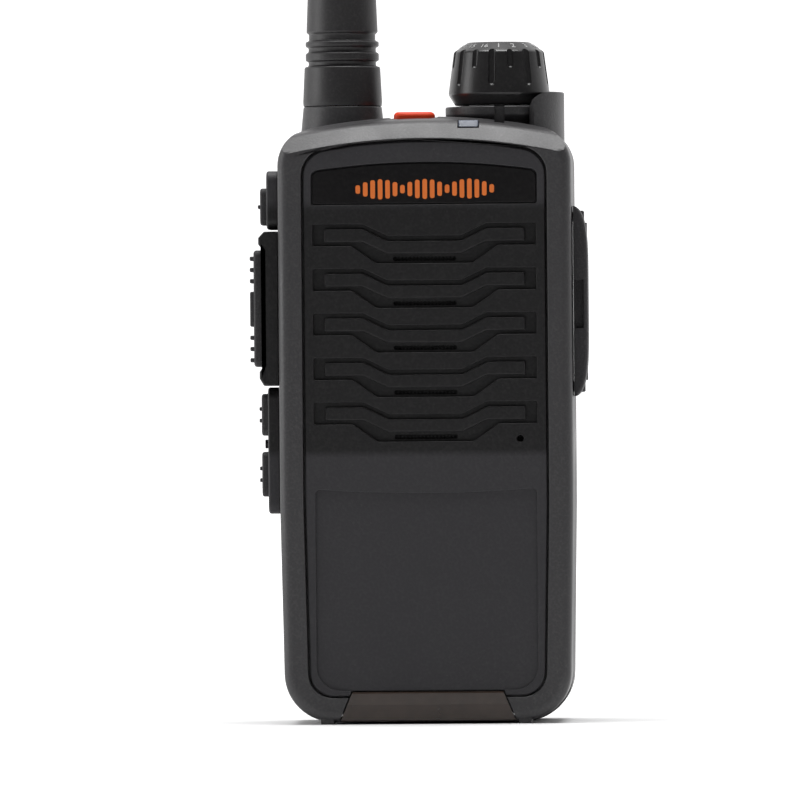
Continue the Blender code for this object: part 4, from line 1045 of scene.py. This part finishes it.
# -------------------------------------------------------------------- latch
def base_latch():
    y, z = LATCH_PIN
    back = -15.3
    turns = [-math.pi / 2 * step / 12 for step in range(13)]
    low = [(y + 1.15 * math.cos(a), z + 1.15 * math.sin(a)) for a in turns]
    side = [(back, LATCH_TOP), (-17.6, LATCH_TOP), (-17.8, LATCH_TOP - 0.1), (-17.9, LATCH_TOP - 0.3),
            (-17.9, 4.0), (-17.1, LATCH_LOW + 0.1), (-16.9, LATCH_LOW)] + list(reversed(low))
    bm = prism(side, -18.5, 18.5, "X")
    for sign in (-1, 1):
        outside = [(30, -5), (30, 12), (latch_half(12), 12), (latch_half(-5), -5)]
        bm = without(bm, prism([(sign * u, v) for u, v in outside], -20, -10))
    bm = without(bm, rod(0.56, -20, 20, LATCH_PIN, "X", 24))
    placed("base_catch", bm, "smoked_plastic", "base_latch", ["base_latch"], sharp=math.radians(10))


# ------------------------------------------------------------------ battery
def battery_case():
    bm = prism(body_outline(0.0, floor=0.0, ceiling=BATTERY_TOP), BATTERY_FRONT, BACK)
    soften(bm, lambda co: abs(co.y - BACK) < 0.01, BACK_ROUND, 8)
    inside = body_outline(BATTERY_WALL, floor=0.0, ceiling=BATTERY_TOP - BATTERY_WALL)
    bm = without(bm, prism(inside, -1, BACK - BATTERY_WALL))
    bm = without(bm, merged(*[rod(1.55, 14, 20, place, "Y") for place in CLIP_SCREWS]))
    bm = without(bm, merged(*[rod(2.9, BACK - 1.2, 20, place, "Y") for place in CLIP_SCREWS]))
    bm = without(bm, merged(*[rod(2.3, 14, 20, place, "Y") for place in CHARGE_STUDS]))
    placed("battery_shell", bm, "housing_plastic", "battery", ["battery_case"])


# -------------------------------------------------------------- studio
def area_light(name, place, aim, size, power, colour=(1, 1, 1)):
    light = bpy.data.lights.new(name, "AREA")
    light.shape = "RECTANGLE"
    light.size, light.size_y = size
    light.energy = power
    light.color = colour
    obj = bpy.data.objects.new(name, light)
    obj.location = place
    obj.rotation_mode = "QUATERNION"
    obj.rotation_quaternion = (Vector(aim) - Vector(place)).to_track_quat("-Z", "Y")
    bpy.context.scene.collection.objects.link(obj)


def floor():
    bm = bmesh.new()
    bmesh.ops.create_circle(bm, cap_ends=True, segments=96, radius=6.0)
    mesh = bpy.data.meshes.new("studio_floor")
    bm.to_mesh(mesh)
    bm.free()
    made, tree, shader, place = new_material("studio_floor")
    tone = range_of(tree, noise_of(tree, place, 3.0), 0.3, 0.7, 0.86, 0.9)
    colour = step_of(tree, "ShaderNodeCombineXYZ", [(0, tone), (1, tone), (2, tone)])
    tree.links.new(colour.outputs[0], shader.inputs["Base Color"])
    reach = step_of(tree, "ShaderNodeVectorMath", [(0, place)], operation="LENGTH").outputs["Value"]
    behind = step_of(tree, "ShaderNodeSeparateXYZ", [(0, place)]).outputs["Y"]
    lit = math_of(tree, "MULTIPLY", range_of(tree, reach, 0.2, 1.0), range_of(tree, behind, -0.3, 0.3))
    glow = step_of(tree, "ShaderNodeCombineXYZ", [(0, lit), (1, lit), (2, lit)])
    tree.links.new(glow.outputs[0], shader.inputs["Emission Color"])
    shader.inputs["Emission Strength"].default_value = 1.0
    shader.inputs["Roughness"].default_value = 0.9
    shader.inputs["Specular IOR Level"].default_value = 0.1
    mesh.materials.append(made)
    obj = bpy.data.objects.new("studio_floor", mesh)
    bpy.context.scene.collection.objects.link(obj)


def studio():
    """White sky that is brighter behind the radio than in front of it."""
    floor()
    world = bpy.data.worlds.new("studio_sky")
    bpy.context.scene.world = world
    world.use_nodes = True
    tree = world.node_tree
    towards = step_of(tree, "ShaderNodeSeparateXYZ", [(0, tree.nodes.new("ShaderNodeTexCoord").outputs["Generated"])])
    strength = range_of(tree, towards.outputs["Y"], -0.3, 0.8, SKY_FRONT, SKY_BACK)
    tree.links.new(strength, tree.nodes["Background"].inputs["Strength"])
    tree.nodes["Background"].inputs["Color"].default_value = (1.0, 0.995, 1.0, 1.0)
    area_light("top_softbox", (0.0, -0.05, 0.95), (0, 0, 0.1), (0.7, 0.5), 10.0)
    area_light("left_strip", (-0.8, -0.1, 0.2), (0, 0, 0.08), (0.35, 0.7), 2.8)
    bpy.context.scene.view_settings.view_transform = "Standard"


SKY_FRONT = 0.10
SKY_BACK = 1.25


def camera():
    """A long lens level with the middle of the radio, just right of its centre line."""
    distance, width, turn, roll = 2.2, 0.1633, math.radians(2.3), math.radians(0.48)
    target = Vector((-0.0052, FRONT * MM, 0.0662))
    data = bpy.data.cameras.new("studio_camera")
    data.lens = data.sensor_width * distance / width
    data.clip_start, data.clip_end = 0.05, 50.0
    obj = bpy.data.objects.new("studio_camera", data)
    back = Vector((math.sin(turn), -math.cos(turn), 0))
    obj.location = target + back * distance
    obj.rotation_mode = "QUATERNION"
    obj.rotation_quaternion = (-back).to_track_quat("-Z", "Y") @ Matrix.Rotation(-roll, 4, "Z").to_quaternion()
    bpy.context.scene.collection.objects.link(obj)
    bpy.context.scene.camera = obj


def main():
    camera()
    studio()
    coat_frame_nodes()
    row, ring = repeat_tree("copies_in_a_row", False), repeat_tree("copies_round_an_axis", True)
    housing()
    grille_panel()
    name_plate()
    key_frames()
    talk_frame()
    talk_button(row)
    side_keys()
    antenna_sheath()
    channel_knob(ring)
    dial_numbers()
    top_button()
    status_lens()
    accessory_cover()
    base_latch()
    battery_case()


main()
